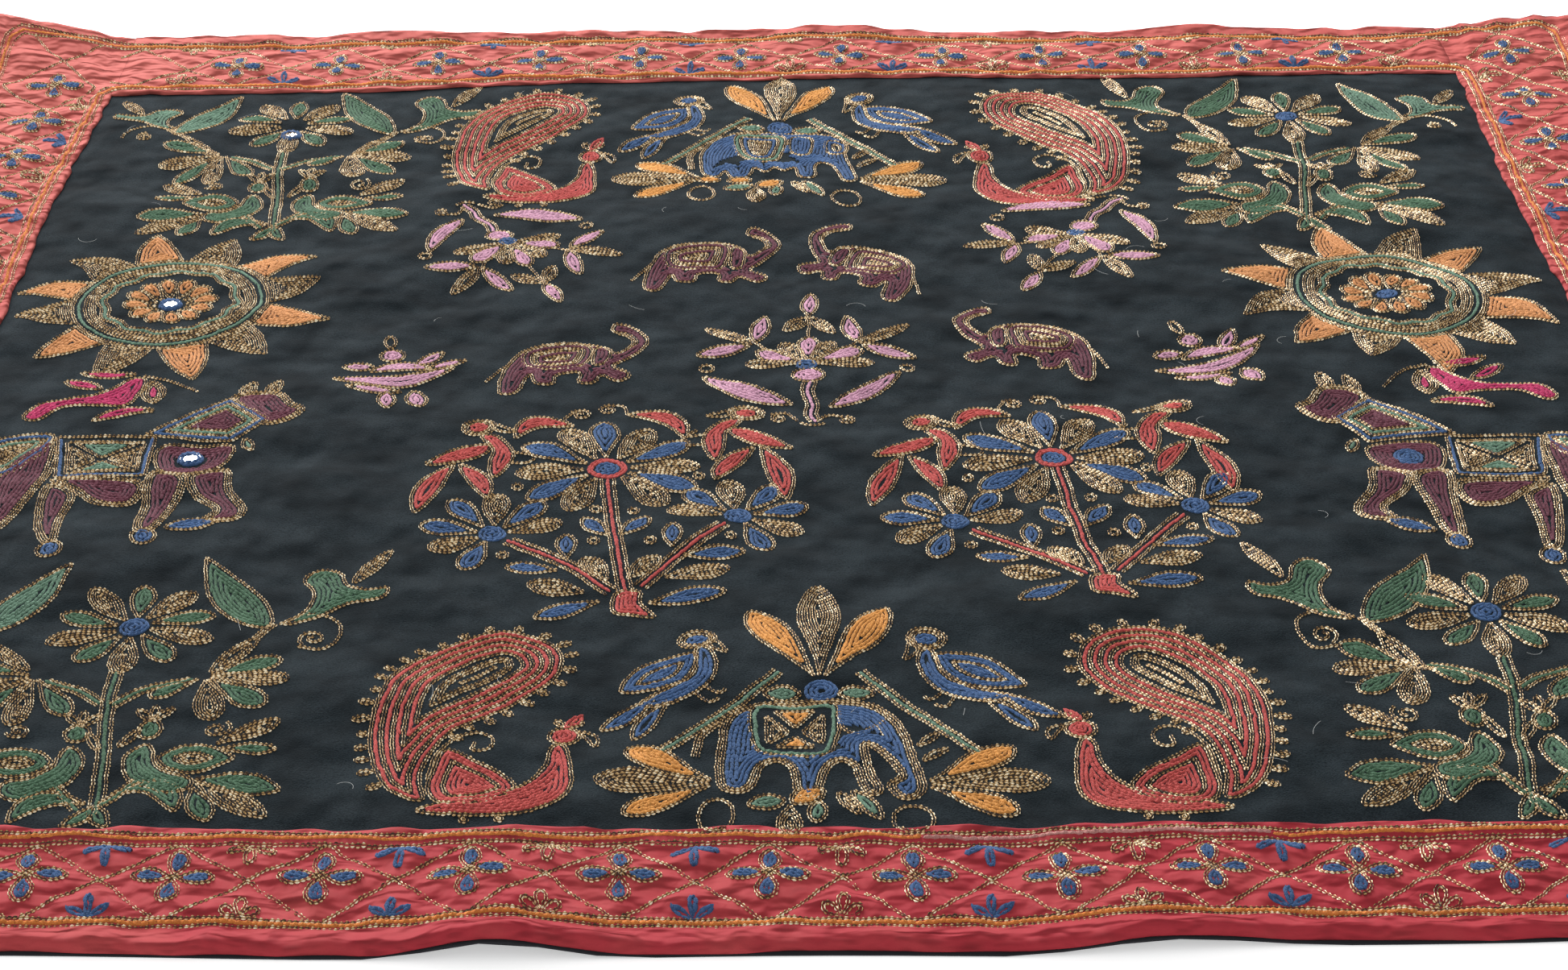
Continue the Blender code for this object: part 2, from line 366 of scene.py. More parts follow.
def uneven(a, b, size_a, size_b, seed):
    """Smooth unevenness from -1 to 1, with swellings of the given sizes."""
    cells = UNEVEN_CELLS
    grid = np.random.default_rng(seed).uniform(-1.0, 1.0, (cells, cells))
    a, b = np.asarray(a) / size_a, np.asarray(b) / size_b
    i, j = np.floor(a).astype(int), np.floor(b).astype(int)
    p, q = a - i, b - j
    p, q = p * p * (3.0 - 2.0 * p), q * q * (3.0 - 2.0 * q)
    i, j, next_i, next_j = i % cells, j % cells, (i + 1) % cells, (j + 1) % cells
    near = grid[i, j] * (1 - p) + grid[next_i, j] * p
    far = grid[i, next_j] * (1 - p) + grid[next_i, next_j] * p
    return near * (1 - q) + far * q


def wrinkle(u, v):
    """Small creases of the panel, drawn up more beside the border."""
    height = FOLD_HEIGHT * uneven(u, v, 0.048, 0.030, 11)
    height = height + CREASE_HEIGHT * uneven(u, v, 0.018, 0.012, 12)
    height += FOLD_HEIGHT * uneven(0.8 * u + 0.6 * v, 0.8 * v - 0.6 * u, 0.070, 0.024, 17)
    # soft crests that branch over the cloth
    crest = np.exp(-((uneven(u, v, 0.080, 0.050, 15) / CREST_WIDTH) ** 2))
    height += CREST_HEIGHT * crest * (0.6 + 0.4 * uneven(u, v, 0.090, 0.090, 16))
    side = SIDE_INNER - np.abs(u)
    end = np.minimum(v - FRONT_INNER, BACK_INNER - v)
    side_draw = np.exp(-np.clip(side, 0, None) / DRAW_REACH) * uneven(u, v, 0.060, 0.011, 13)
    end_draw = np.exp(-np.clip(end, 0, None) / DRAW_REACH) * uneven(u, v, 0.011, 0.060, 14)
    height += DRAW_HEIGHT * (side_draw + end_draw)
    height = (LEAST_LOFT + height) * eased(np.minimum(side, end), -0.001, 0.016)
    # the cloth lies flat under each mirror
    for spot in mirror_spots.values():
        mirror_u, mirror_v = flat_plan(*spot)
        height = height * eased(np.hypot(u - mirror_u, v - mirror_v), *FLAT_ROUND_MIRROR)
    return height


def panel_under(u, v):
    """Under face of the panel, on the lining."""
    return ripple(u, v) + LINING_THICK + LAYER_GAP


def panel_top(u, v):
    """Upper face of the panel, where the motifs are stitched."""
    return panel_under(u, v) + PANEL_THICK + wrinkle(u, v)


def weighted(tree, *terms):
    """The sum of values, each times its own weight."""
    products = [calculate(tree, "MULTIPLY", value, weight) for value, weight in terms]
    total = products[0]
    for product in products[1:]:
        total = calculate(tree, "ADD", total, product)
    return total


felt, tree, shader, place = new_material(
    "felted_wool", roughness=0.95, sheen_weight=0.02, specular_ior_level=0.04
)
cloudy = patchy(tree, place, 0.035, 2.3, (1, 1.3, 1))
lint = patchy(tree, place, 0.0009, 2.0, (1, 1.2, 1))
shade = calculate(tree, "MULTIPLY", cloudy, lint)
shade = calculate(tree, "MULTIPLY", shade, 2.0)
colour = blend_colours(tree, shade, (*PANEL_DARK, 1), (*PANEL_LIGHT, 1))
tree.links.new(colour, shader.inputs["Base Color"])
nap = patchy(tree, place, 0.030, 1.6, (1.3, 1, 1), detail=1.0)
set_bump(tree, shader, weighted(tree, (nap, 1.0), (lint, 0.05)), NAP_DEPTH)

panel_u = plan_lines(-SIDE_INNER - PANEL_LAP, SIDE_INNER + PANEL_LAP, cell=PANEL_CELL)
panel_v = plan_lines(FRONT_INNER - PANEL_LAP, BACK_INNER + PANEL_LAP, cell=PANEL_CELL)
panel = cloth("panel_cloth", *np.meshgrid(panel_u, panel_v), panel_top, panel_under)
panel.data.materials.append(felt)
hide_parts("ground_panel")


# Border: four strips of soft red cotton, two at the sides and two butted between
# them, each folded in along its inner edge and hemmed along its outer one. The
# lattice stitching quilts them, so the cloth puffs up between its lines.
BORDER_THICK = 0.0016
HEM_WIDTH = 0.012
HEM_RISE = 0.0010
LAP_CLEARANCE = 0.001
RISE_RUN = 0.0035
STRIP_CELL = 0.0042
PUFF = 0.0024
PUFF_REACH = 0.006
SEAM_REACH = 0.006
PULL_HEIGHT = 0.0014
SMALL_PULL_HEIGHT = 0.0006
EDGE_THICK = 0.0003
HEM_ROLL = 0.0045
FOLD_ROLL = 0.0030
INNER_LINES = (0.0050, 0.0083, 0.0118)
BORDER_RED = (0.322, 0.025, 0.035)
# the paler, pinker red towards the back and the left: partly real fading and dust, partly painted
# sheen where the light falls from behind on the left
BORDER_FADED_AND_SHEEN = (0.46, 0.108, 0.088)
FLECK_COLOUR = (0.22, 0.02, 0.03)
FLECK_SHARE = 0.30
# how much that paling grows towards the back, and towards the left: real fading and painted sheen
FADE_AND_SHEEN_TO_BACK = 0.85
FADE_AND_SHEEN_TO_RIGHT = -0.35
PUCKER_DEPTH = 0.0052

# Strips: first flower, flower pitch, lattice middle, its reach in and out, then
# the three outer lines, all measured outward from the strip's inner edge
STRIPS = {
    "front": (-0.0082, 0.0632, 0.0370, 0.0250, 0.0290, (0.0637, 0.0662, 0.0690)),
    "back": (-0.0322, 0.0687, 0.0372, 0.0250, 0.0300, (0.0682, 0.0710, 0.0738)),
    "left": (0.2427, 0.0660, 0.0400, 0.0280, 0.0340, (0.0785, 0.0815, 0.0845)),
    "right": (0.2427, 0.0716, 0.0400, 0.0280, 0.0340, (0.0765, 0.0795, 0.0825)),
}
STRIP_NAMES = list(STRIPS)


def strip_point(strip, along, outward):
    """A point of the flat plan from its place along and across a strip."""
    if strip == "front":
        return along, FRONT_INNER - outward
    if strip == "back":
        return along, BACK_INNER + outward
    sign = -1.0 if strip == "left" else 1.0
    return sign * (SIDE_INNER + outward), along


def strip_width(strip):
    """Width of a strip, from its inner to its outer edge."""
    ends = {"front": FRONT_INNER - FRONT_EDGE, "back": BACK_EDGE - BACK_INNER}
    return ends.get(strip, HALF_WIDTH - SIDE_INNER)


def lattice_offset(strip, along):
    """How far the two zigzags stand from the lattice's middle: 1 at a flower, 0 between."""
    first, pitch = STRIPS[strip][:2]
    phase = (along - first) / pitch
    return 1.0 - 2.0 * np.abs(phase - np.round(phase))


def puff(strip, along, outward):
    """Swelling of the cloth between the lines that quilt it."""
    _, pitch, middle, reach_in, reach_out, outer = STRIPS[strip]
    share = lattice_offset(strip, along)
    slope = 1.0 / math.hypot(1.0, 4.0 * reach_in / (2.0 * pitch))
    near = np.abs(outward - (middle - reach_in * share)) * slope
    near = np.minimum(near, np.abs(outward - (middle + reach_out * share)) * slope)
    for line in INNER_LINES[::2] + outer[::2]:
        near = np.minimum(near, np.abs(outward - line))
    return PUFF * (1.0 - np.exp(-((near / PUFF_REACH) ** 2)))


def over_panel(u, v):
    """1 where the border lies on the panel, 0 outside it, with a slope between."""
    rise_top = PANEL_LAP + LAP_CLEARANCE
    outside = np.maximum(np.abs(u) - SIDE_INNER, np.maximum(FRONT_INNER - v, v - BACK_INNER))
    return np.clip(1.0 - (outside - rise_top) / RISE_RUN, 0.0, 1.0)


def border_under(u, v):
    """Under face of the strips, on the lining and on the panel's edge."""
    step = PANEL_THICK + LAYER_GAP
    return ripple(u, v) + LINING_THICK + LAYER_GAP + step * over_panel(u, v)


def border_top(u, v):
    """Upper face of the strips: folded edge, puffs, pulls of the stitching and hem."""
    outer = np.minimum(HALF_WIDTH - np.abs(u), np.minimum(v - FRONT_EDGE, BACK_EDGE - v))
    inner = np.maximum(np.abs(u) - SIDE_INNER, np.maximum(FRONT_INNER - v, v - BACK_INNER))
    sides = np.abs(u) > SIDE_INNER + 1e-6
    swell = np.zeros(np.shape(u))
    for strip in STRIP_NAMES:
        if strip in ("left", "right"):
            here = sides & ((u < 0) == (strip == "left"))
            swell = np.where(here, puff(strip, v, np.abs(u) - SIDE_INNER), swell)
        else:
            here = ~sides & ((v < 0) == (strip == "front"))
            swell = np.where(here, puff(strip, u, inner), swell)
    # the cloth is drawn down along the seam between a side strip and an end strip
    seam = np.where((v < FRONT_INNER) | (v > BACK_INNER), np.abs(np.abs(u) - SIDE_INNER), 1.0)
    swell = swell * (1.0 - np.exp(-((seam / SEAM_REACH) ** 2)))
    pull = PULL_HEIGHT * uneven(u, v, 0.017, 0.009, 21)
    pull = pull + SMALL_PULL_HEIGHT * uneven(u, v, 0.010, 0.007, 22)
    hem = HEM_RISE * (1.0 - eased(outer, HEM_WIDTH - 0.002, HEM_WIDTH + 0.002))
    hem = hem * (1.2 + 0.9 * uneven(u, v, 0.018, 0.018, 23))
    height = border_under(u, v) + BORDER_THICK + swell + pull + hem
    low = border_under(u, v) + EDGE_THICK
    for edge, reach in ((outer, HEM_ROLL), (inner, FOLD_ROLL)):
        share = np.clip(edge / reach, 0.0, 1.0)
        height = low + (height - low) * np.sqrt(1.0 - (1.0 - share) ** 2)
    return height


cotton, tree, shader, place = new_material(
    "border_cotton", roughness=0.85, specular_ior_level=0.15
)
# real fading in patches, and painted sheen that pales the red towards the back and the left, where
# the light comes from
fade_and_sheen = patchy(tree, place, 0.045, 0.8)
apart = add_node(tree, "ShaderNodeSeparateXYZ", {0: place})
fade_and_sheen = weighted(
    tree, (fade_and_sheen, 1.0), (apart.outputs[1], FADE_AND_SHEEN_TO_BACK), (apart.outputs[0], FADE_AND_SHEEN_TO_RIGHT)
)
fade_and_sheen = add_node(tree, "ShaderNodeClamp", {0: fade_and_sheen}).outputs[0]
colour = blend_colours(tree, fade_and_sheen, (*BORDER_RED, 1), (*BORDER_FADED_AND_SHEEN, 1))
fleck = patchy(tree, place, 0.0006, 1.2)
fleck = calculate(tree, "MULTIPLY", fleck, FLECK_SHARE)
colour = blend_colours(tree, fleck, colour, (*FLECK_COLOUR, 1))
tree.links.new(colour, shader.inputs["Base Color"])
pucker = patchy(tree, place, 0.0075, 1.8, (0.55, 1.0, 1), detail=0.6)
weave = group_value(tree, plain_weave, {"Place": place, "Pitch": 0.0008})
set_bump(tree, shader, weighted(tree, (pucker, 1.0), (weave, 0.0015)), PUCKER_DEPTH)


def strip_lines(strip):
    """Plan lines across a strip, close together at its folded edges."""
    width = strip_width(strip)
    edge = [0.0, 0.0004, 0.0012, 0.0024, 0.0042]
    rise = PANEL_LAP + LAP_CLEARANCE
    inside = list(plan_lines(rise + RISE_RUN, width - HEM_WIDTH, cell=STRIP_CELL))
    hem = [width - HEM_ROLL * share for share in (1, 0.6, 0.3, 0.1, 0)]
    lines = edge + [rise] + inside + hem
    if len(lines) % 2 == 0:
        lines.insert(5, (lines[4] + lines[5]) / 2.0)
    return np.array(lines)


FOLD_STRAY = 0.0016
HEM_STRAY = 0.0011
FLAT_SIZES = {
    "front": (0.9062, 0.0845),
    "back": (0.9062, 0.0855),
    "left": (0.0965, 1.033),
    "right": (0.0965, 1.033),
}
for strip in STRIP_NAMES:
    if strip in ("front", "back"):
        ends = (-SIDE_INNER, SIDE_INNER)
    else:
        ends = (FRONT_EDGE, BACK_EDGE)
    along, outward = np.meshgrid(plan_lines(*ends, cell=STRIP_CELL), strip_lines(strip))
    # the folded inner edge and the hem wander a little, as hand sewing does
    inward = FOLD_STRAY * uneven(along, outward * 0, 0.013, 1.0, 31)
    inward = inward * (1 - eased(outward, 0.0, 0.010))
    if strip in ("left", "right"):
        inward = inward * (along > FRONT_INNER) * (along < BACK_INNER)
    hang = HEM_STRAY * uneven(along, outward * 0, 0.021, 1.0, 32)
    hang = hang * eased(outward, strip_width(strip) - 0.020, strip_width(strip))
    if strip in ("front", "back"):
        hang = hang * (1.0 - np.exp(-(((SIDE_INNER - np.abs(along)) / 0.010) ** 2)))
    moved = outward + inward + hang
    u, v = strip_point(strip, along, moved)
    true_u, true_v = strip_point(strip, along, outward)
    if strip in ("front", "right"):
        u, v, true_u, true_v = u[:, ::-1], v[:, ::-1], true_u[:, ::-1], true_v[:, ::-1]
    rise = border_top(true_u, true_v)
    fall = border_under(true_u, true_v)[::2, ::2]

    def top(_u, _v, rise=rise):
        """Upper face of this strip, from its own plan points."""
        return rise

    def under(_u, _v, fall=fall):
        """Under face of this strip."""
        return fall

    piece = cloth(strip + "_strip", u, v, top, under)
    piece.data.materials.append(cotton)
    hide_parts("border_" + strip)
    FLAT_SIZES[strip]


# Border lines and lattice: chain stitch. Gold is a hooked chain of metal-wrapped
# thread, each link two bowed arms; the orange line is wool. Three lines run round
# inside and three round outside, and a double zigzag makes the diamonds.
GOLD_PITCH = 0.0024
GOLD_HALF_WIDTH = 0.00105
GOLD_RISE = 0.00085
WOOL_PITCH = 0.0033
WOOL_HALF_WIDTH = 0.00118
WOOL_RISE = 0.0013
STITCH_STRAY = 0.00013
OVER_MIRROR = 0.0010
MIRROR_RIM = (0.0058, 0.0072)
SHORTEST_CLOSED = 2.0
SHORTEST_OPEN = 0.6

# A gold link: points as share of the link's length, half width and height. Each
# arm runs from a low tip through three points to the tip over the next link.
ARM = [(-0.16, 0.1, 0.1), (0.45, 1.0, -0.2), (0.5, 0.7, 1.0), (0.5, 0.34, -0.1), (1.12, 0.25, 0.6)]
ARM_FACES = [(0, 2, 1), (0, 3, 2), (4, 1, 2), (4, 2, 3)]
LINK = np.array(ARM + [(along, -side, up) for along, side, up in ARM])
LINK_FACES = ARM_FACES + [(a + 5, c + 5, b + 5) for a, b, c in ARM_FACES]

# A wool stitch: three sections, each of two low sides and a crown
BRAID = []
for along, side, up in ((0.0, 0.74, 0.55), (0.60, 1.0, 1.0), (1.12, 0.74, 0.62)):
    BRAID += [(along, side, -0.15), (along + 0.2, 0.0, up), (along, -side, -0.15)]
BRAID = np.array(BRAID)
BRAID_FACES = [(0, 1, 4, 3), (1, 2, 5, 4), (3, 4, 7, 6), (4, 5, 8, 7)]

# Thread finishes by name: its material, and whether it is gold
threads = {}


def cloth_top(x, y):
    """Height of the visible cloth at a place, on the border or on the panel."""
    u, v = flat_plan(x, y)
    on_panel = (np.abs(u) < SIDE_INNER) & (v > FRONT_INNER) & (v < BACK_INNER)
    height = np.empty(np.shape(u))
    height[on_panel] = panel_top(u[on_panel], v[on_panel])
    height[~on_panel] = border_top(u[~on_panel], v[~on_panel])
    # stitches near a mirror climb over its rim
    for spot in mirror_spots.values():
        away = np.hypot(x - spot[0], y - spot[1])
        height = height + OVER_MIRROR * (1.0 - eased(away, *MIRROR_RIM))
    return height


def stitch_ends(rows, pitch):
    """Start and end of every stitch along a thread's rows."""
    starts, ends = [], []
    for row in rows:
        steps = np.hypot(*np.diff(row, axis=0).T)
        total = steps.sum()
        closed = math.dist(row[0], row[-1]) < 1e-6
        if total < (SHORTEST_CLOSED if closed else SHORTEST_OPEN) * pitch:
            continue
        count = max(3 if closed else 1, round(total / pitch))
        walked = np.concatenate([[0.0], np.cumsum(steps)])
        marks = np.linspace(0.0, total, count + 1)
        line = np.stack([np.interp(marks, walked, row[:, axis]) for axis in (0, 1)], axis=-1)
        starts.append(line[:-1])
        ends.append(line[1:])
    return np.vstack(starts), np.vstack(ends)


def sew(name, rows, seed):
    """Sew a group of motifs: one mesh of all its stitches, with a slot for each thread."""
    random = np.random.default_rng(seed)
    places, faces, slots, corners, marks = [], [], [], [], []
    count = 0
    used = sorted(rows)
    sewn = {}
    for thread in used:
        pitch = GOLD_PITCH if threads[thread][1] else WOOL_PITCH
        sewn[thread] = stitch_ends(rows[thread], pitch)
    side_cells = math.ceil(math.sqrt(sum(len(starts) for starts, _ in sewn.values())))
    cell_number = 0
    for slot, thread in enumerate(used):
        starts, ends = sewn[thread]
        gold = threads[thread][1]
        form, form_faces = (LINK, LINK_FACES) if gold else (BRAID, BRAID_FACES)
        half, rise = (GOLD_HALF_WIDTH, GOLD_RISE) if gold else (WOOL_HALF_WIDTH, WOOL_RISE)
        number = len(starts)
        run = ends - starts
        length = np.hypot(*run.T)[:, None]
        aside = np.stack([-run[:, 1], run[:, 0]], axis=-1) / length
        shift = aside * random.normal(0.0, STITCH_STRAY, (number, 1))
        broad = half * random.uniform(0.85, 1.15, (number, 1))
        high = rise * random.uniform(0.8, 1.2, (number, 1))
        plan = (
            (starts + shift)[:, None]
            + run[:, None] * form[None, :, :1]
            + (aside * broad)[:, None] * form[None, :, 1:2]
        )
        z = cloth_top(plan[..., 0], plan[..., 1]) + high * form[None, :, 2]
        places.append(np.concatenate([plan, z[..., None]], axis=-1).reshape(-1, 3))
        points = len(form)
        base = count + points * np.arange(number)[:, None, None]
        faces += (base + np.array(form_faces)[None]).reshape(-1, len(form_faces[0])).tolist()
        slots.append(np.full(number * len(form_faces), slot))
        # each stitch has its own cell of the map, its length up the cell
        cell = cell_number + np.arange(number)
        corner = np.stack([cell % side_cells, cell // side_cells], axis=-1) / side_cells
        in_cell = np.stack([0.5 + 0.42 * form[:, 1], 0.06 + 0.76 * form[:, 0]], axis=-1)
        of_points = corner[:, None] + in_cell[None] / side_cells
        order = np.array(form_faces).reshape(-1)
        corners.append(of_points[:, order].reshape(-1, 2))
        tone = np.clip(random.normal(0.5, 0.24, number), 0.0, 1.0)
        mark = np.empty((number, points, 3))
        mark[..., 0] = tone[:, None]
        mark[..., 1] = form[None, :, 0]
        mark[..., 2] = form[None, :, 1]
        marks.append(mark.reshape(-1, 3))
        count += number * points
        cell_number += number
    mesh = bpy.data.meshes.new(name)
    mesh.from_pydata(np.vstack(places).tolist(), [], faces)
    for thread in used:
        mesh.materials.append(threads[thread][0])
    mesh.polygons.foreach_set("material_index", np.concatenate(slots).astype(np.int32))
    layer = mesh.uv_layers.new(name="OFBake")
    layer.uv.foreach_set("vector", np.vstack(corners).astype(np.float32).ravel())
    stitch = mesh.attributes.new("stitch", "FLOAT_VECTOR", "POINT")
    stitch.data.foreach_set("vector", np.vstack(marks).astype(np.float32).ravel())
    mesh.shade_smooth()
    piece = bpy.data.objects.new(name, mesh)
    bpy.context.scene.collection.objects.link(piece)
    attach(piece, "root")


# Spun wool: two strands that meet in a groove, with a slanting ply
spun_wool, given, put_out = new_group("spun_wool", {"Stitch": VECTOR}, {"Height": NUMBER})
parts = add_node(spun_wool, "ShaderNodeSeparateXYZ", {0: given.outputs["Stitch"]})
aside = calculate(spun_wool, "ABSOLUTE", parts.outputs[2])
slant = weighted(spun_wool, (parts.outputs[1], 3.0), (aside, 1.0))
ply = calculate(spun_wool, "SINE", calculate(spun_wool, "MULTIPLY", slant, 2.0 * math.pi))
groove = calculate(spun_wool, "MINIMUM", calculate(spun_wool, "MULTIPLY", aside, 2.5), 1.0)
ridge = weighted(spun_wool, (groove, 1.0), (ply, 0.25))
spun_wool.links.new(ridge, put_out.inputs["Height"])


def wool(name, colour):
    """A dyed wool thread: soft, matt, a little darker or lighter at each stitch, and darkened with
    painted shade towards the sides of each stitch.
    """
    material, tree, shader, place = new_material(
        name + "_wool", roughness=0.85, sheen_weight=0.06, specular_ior_level=0.2
    )
    stitch = add_node(tree, "ShaderNodeAttribute", {}, attribute_name="stitch").outputs["Vector"]
    parts = add_node(tree, "ShaderNodeSeparateXYZ", {0: stitch})
    patch = patchy(tree, place, 0.012, 1.5)
    fluff = patchy(tree, place, 0.0011, 2.2)
    tone = weighted(tree, (parts.outputs[0], 0.25), (patch, 0.35), (fluff, 0.40))
    dark = tuple(0.50 * value for value in colour)
    light = tuple(min(1.0, 1.25 * value + 0.02) for value in colour)
    shade = blend_colours(tree, tone, (*dark, 1), (*light, 1))
    # painted shade: each stitch darkens towards its sides, where it dips between the rows
    edge = calculate(tree, "POWER", calculate(tree, "ABSOLUTE", parts.outputs[2]), 2.0)
    edge = calculate(tree, "MULTIPLY", edge, 0.75)
    painted_shade_colour = tuple(0.22 * value for value in colour)
    shade = blend_colours(tree, edge, shade, (*painted_shade_colour, 1))
    tree.links.new(shade, shader.inputs["Base Color"])
    ply = group_value(tree, spun_wool, {"Stitch": stitch})
    set_bump(tree, shader, weighted(tree, (ply, 0.6), (fluff, 1.0)), 0.0004)
    threads[name] = (material, False)


def metal_thread(name, dull_and_painted_shade, bright, painted_glint):
    """A metal-wrapped thread, worn and brown, with a painted highlight on the crown of each arm that
    reaches a painted glint on some links, and painted shade where the arms dip.
    """
    material, tree, shader, place = new_material(name + "_thread", roughness=0.34, metallic=0.35)
    stitch = add_node(tree, "ShaderNodeAttribute", {}, attribute_name="stitch").outputs["Vector"]
    parts = add_node(tree, "ShaderNodeSeparateXYZ", {0: stitch})
    patch = patchy(tree, place, 0.004, 2.6)
    # each arm of a link gets a painted highlight on its crown and painted shade where it dips under
    # the next
    off_crown_painted_shade = calculate(tree, "SUBTRACT", calculate(tree, "ABSOLUTE", parts.outputs[2]), 0.7)
    off_crown_painted_shade = calculate(tree, "ABSOLUTE", off_crown_painted_shade)
    tone = weighted(tree, (parts.outputs[0], 0.75), (patch, 0.45), (off_crown_painted_shade, -2.2))
    tone = calculate(tree, "ADD", tone, 0.20)
    # the colour runs from dull brown, partly real tarnish and partly painted shade, through the
    # gold's own colour to a painted glint
    ramp = add_node(tree, "ShaderNodeValToRGB", {0: tone})
    stops = ramp.color_ramp.elements
    stops[0].position = 0.10
    stops[0].color = (*dull_and_painted_shade, 1)
    stops[1].position = 0.90
    stops[1].color = (*painted_glint, 1)
    middle = stops.new(0.55)
    middle.color = (*bright, 1)
    tree.links.new(ramp.outputs[0], shader.inputs["Base Color"])
    wrap = calculate(tree, "SINE", calculate(tree, "MULTIPLY", parts.outputs[1], 40.0))
    set_bump(tree, shader, wrap, 0.00012, 0.5)
    threads[name] = (material, True)


# gold: a dull brown of tarnish and painted shade, its own gold, and a painted glint colour
metal_thread("gold", (0.045, 0.022, 0.008), (0.62, 0.37, 0.13), (1.0, 0.90, 0.66))
wool("tangerine", (0.80, 0.24, 0.045))
wool("faded_pink", (0.62, 0.28, 0.25))

LINE_STEP = 0.0015
LINE_DRIFT = 0.0006
PALE_START = 0.058
PALE_END = 0.210
CORNER_IN = 0.006
CORNER_OUT = 0.014
ZIGZAG_WANDER = 0.0012


def round_corners(low_u, high_u, low_v, high_v, radius):
    """A closed row round the hanging, turning its corners in arcs."""
    row = []
    corners = ((high_u, low_v), (high_u, high_v), (low_u, high_v), (low_u, low_v))
    for (corner_u, corner_v), start in zip(corners, (-90, 0, 90, 180)):
        centre_u = corner_u - math.copysign(radius, corner_u)
        centre_v = corner_v - math.copysign(radius, corner_v)
        for degrees in range(start, start + 91, 15):
            turn = math.radians(degrees)
            row.append((centre_u + radius * math.cos(turn), centre_v + radius * math.sin(turn)))
    return np.array(row + row[:1])


def finer(row, step):
    """The same row with points at even short steps."""
    steps = np.hypot(*np.diff(row, axis=0).T)
    walked = np.concatenate([[0.0], np.cumsum(steps)])
    marks = np.linspace(0.0, walked[-1], max(2, round(walked[-1] / step)))
    return np.stack([np.interp(marks, walked, row[:, axis]) for axis in (0, 1)], axis=-1)


def hand_wander(row, amount, seed=41):
    """The small drift of a line that is stitched by hand, in metres."""
    x, y = row[:, 0], row[:, 1]
    drift_x = uneven(x, y, 0.021, 0.019, seed) + 0.4 * uneven(x, y, 0.008, 0.007, seed + 1)
    drift_y = uneven(x, y, 0.019, 0.023, seed + 2) + 0.4 * uneven(x, y, 0.007, 0.008, seed + 3)
    return row + amount * np.stack([drift_x, drift_y], axis=-1)


def laid_row(row, amount):
    """A row of the flat plan where it comes to lie, with its drift."""
    return np.stack(lay(*hand_wander(row, amount).T), axis=-1)


def rows_within(points, keep):
    """The unbroken stretches of a row whose points are kept."""
    edges = np.flatnonzero(np.diff(np.concatenate([[0], keep.astype(int), [0]])))
    return [points[a:b] for a, b in zip(edges[::2], edges[1::2]) if b - a > 1]


line_rows = defaultdict(list)
for number, thread in enumerate(("gold", "tangerine", "gold")):
    inner = INNER_LINES[number]
    row = round_corners(
        -SIDE_INNER - inner,
        SIDE_INNER + inner,
        FRONT_INNER - inner,
        BACK_INNER + inner,
        CORNER_IN + inner,
    )
    row = finer(row, LINE_STEP)
    # a stretch of the front line is in a paler wool
    pale = (row[:, 1] < FRONT_INNER) & (row[:, 0] > PALE_START) & (row[:, 0] < PALE_END)
    pale &= thread == "tangerine"
    for part in rows_within(row, ~pale):
        line_rows[thread].append(laid_row(part, LINE_DRIFT))
    for part in rows_within(row, pale):
        line_rows["faded_pink"].append(laid_row(part, LINE_DRIFT))
    outer = {strip: STRIPS[strip][5][number] for strip in STRIP_NAMES}
    row = round_corners(
        -SIDE_INNER - outer["left"],
        SIDE_INNER + outer["right"],
        FRONT_INNER - outer["front"],
        BACK_INNER + outer["back"],
        CORNER_OUT,
    )
    line_rows[thread].append(laid_row(finer(row, LINE_STEP), LINE_DRIFT))
sew("border_lines", line_rows, 51)


lattice_rows = defaultdict(list)
for strip, (first, pitch, middle, reach_in, reach_out, outer) in STRIPS.items():
    if strip in ("front", "back"):
        low, high = -SIDE_INNER - INNER_LINES[0], SIDE_INNER + INNER_LINES[0]
    else:
        low = FRONT_INNER - STRIPS["front"][5][0]
        high = BACK_INNER + STRIPS["back"][5][0]
    along = np.arange(low, high, LINE_STEP)
    share = lattice_offset(strip, along)
    for outward in (middle - reach_in * share, middle + reach_out * share):
        row = np.stack(strip_point(strip, along, outward), axis=-1)
        for part in rows_within(row, (outward < outer[0]) & (outward > INNER_LINES[2])):
            lattice_rows["gold"].append(laid_row(part, ZIGZAG_WANDER))
sew("border_lattice", lattice_rows, 52)


# Border flowers and sprigs: a four-petalled flower of blue wool in gold chain in
# each diamond, and small three-leaved sprigs, blue and gold by turns, in the
# half diamonds above and below each crossing.
FLOWER_PETAL = 18.0
FLOWER_PETAL_WIDTH = 9.0
MILLIMETRE = 0.001
wool("blue", (0.042, 0.108, 0.260))


def left_of(run):
    """Directions of length one, to the left of each step of a row."""
    aside = np.stack([-run[:, 1], run[:, 0]], axis=-1)
    return aside / np.maximum(np.hypot(*aside.T)[:, None], 1e-9)


def leaf(base, tip, width, bend=0.0, belly=0.5, blunt=0.8):
    """A closed petal or leaf outline in millimetres, from its base to its tip and back."""
    base, tip = np.array(base, float), np.array(tip, float)
    run = tip - base
    length = math.hypot(*run)
    aside = np.array([-run[1], run[0]]) / length
    share = np.linspace(0.0, 1.0, max(8, round(length / 1.2)))[:, None]
    spine = base + run * share + aside * bend * np.sin(math.pi * share)
    normal = left_of(np.gradient(spine, axis=0))
    swell = np.sin(math.pi * share ** (math.log(0.5) / math.log(belly)))
    half = 0.5 * width * np.clip(swell, 0.0, 1.0) ** blunt
    return np.vstack([spine + half * normal, (spine - half * normal)[::-1][1:]])


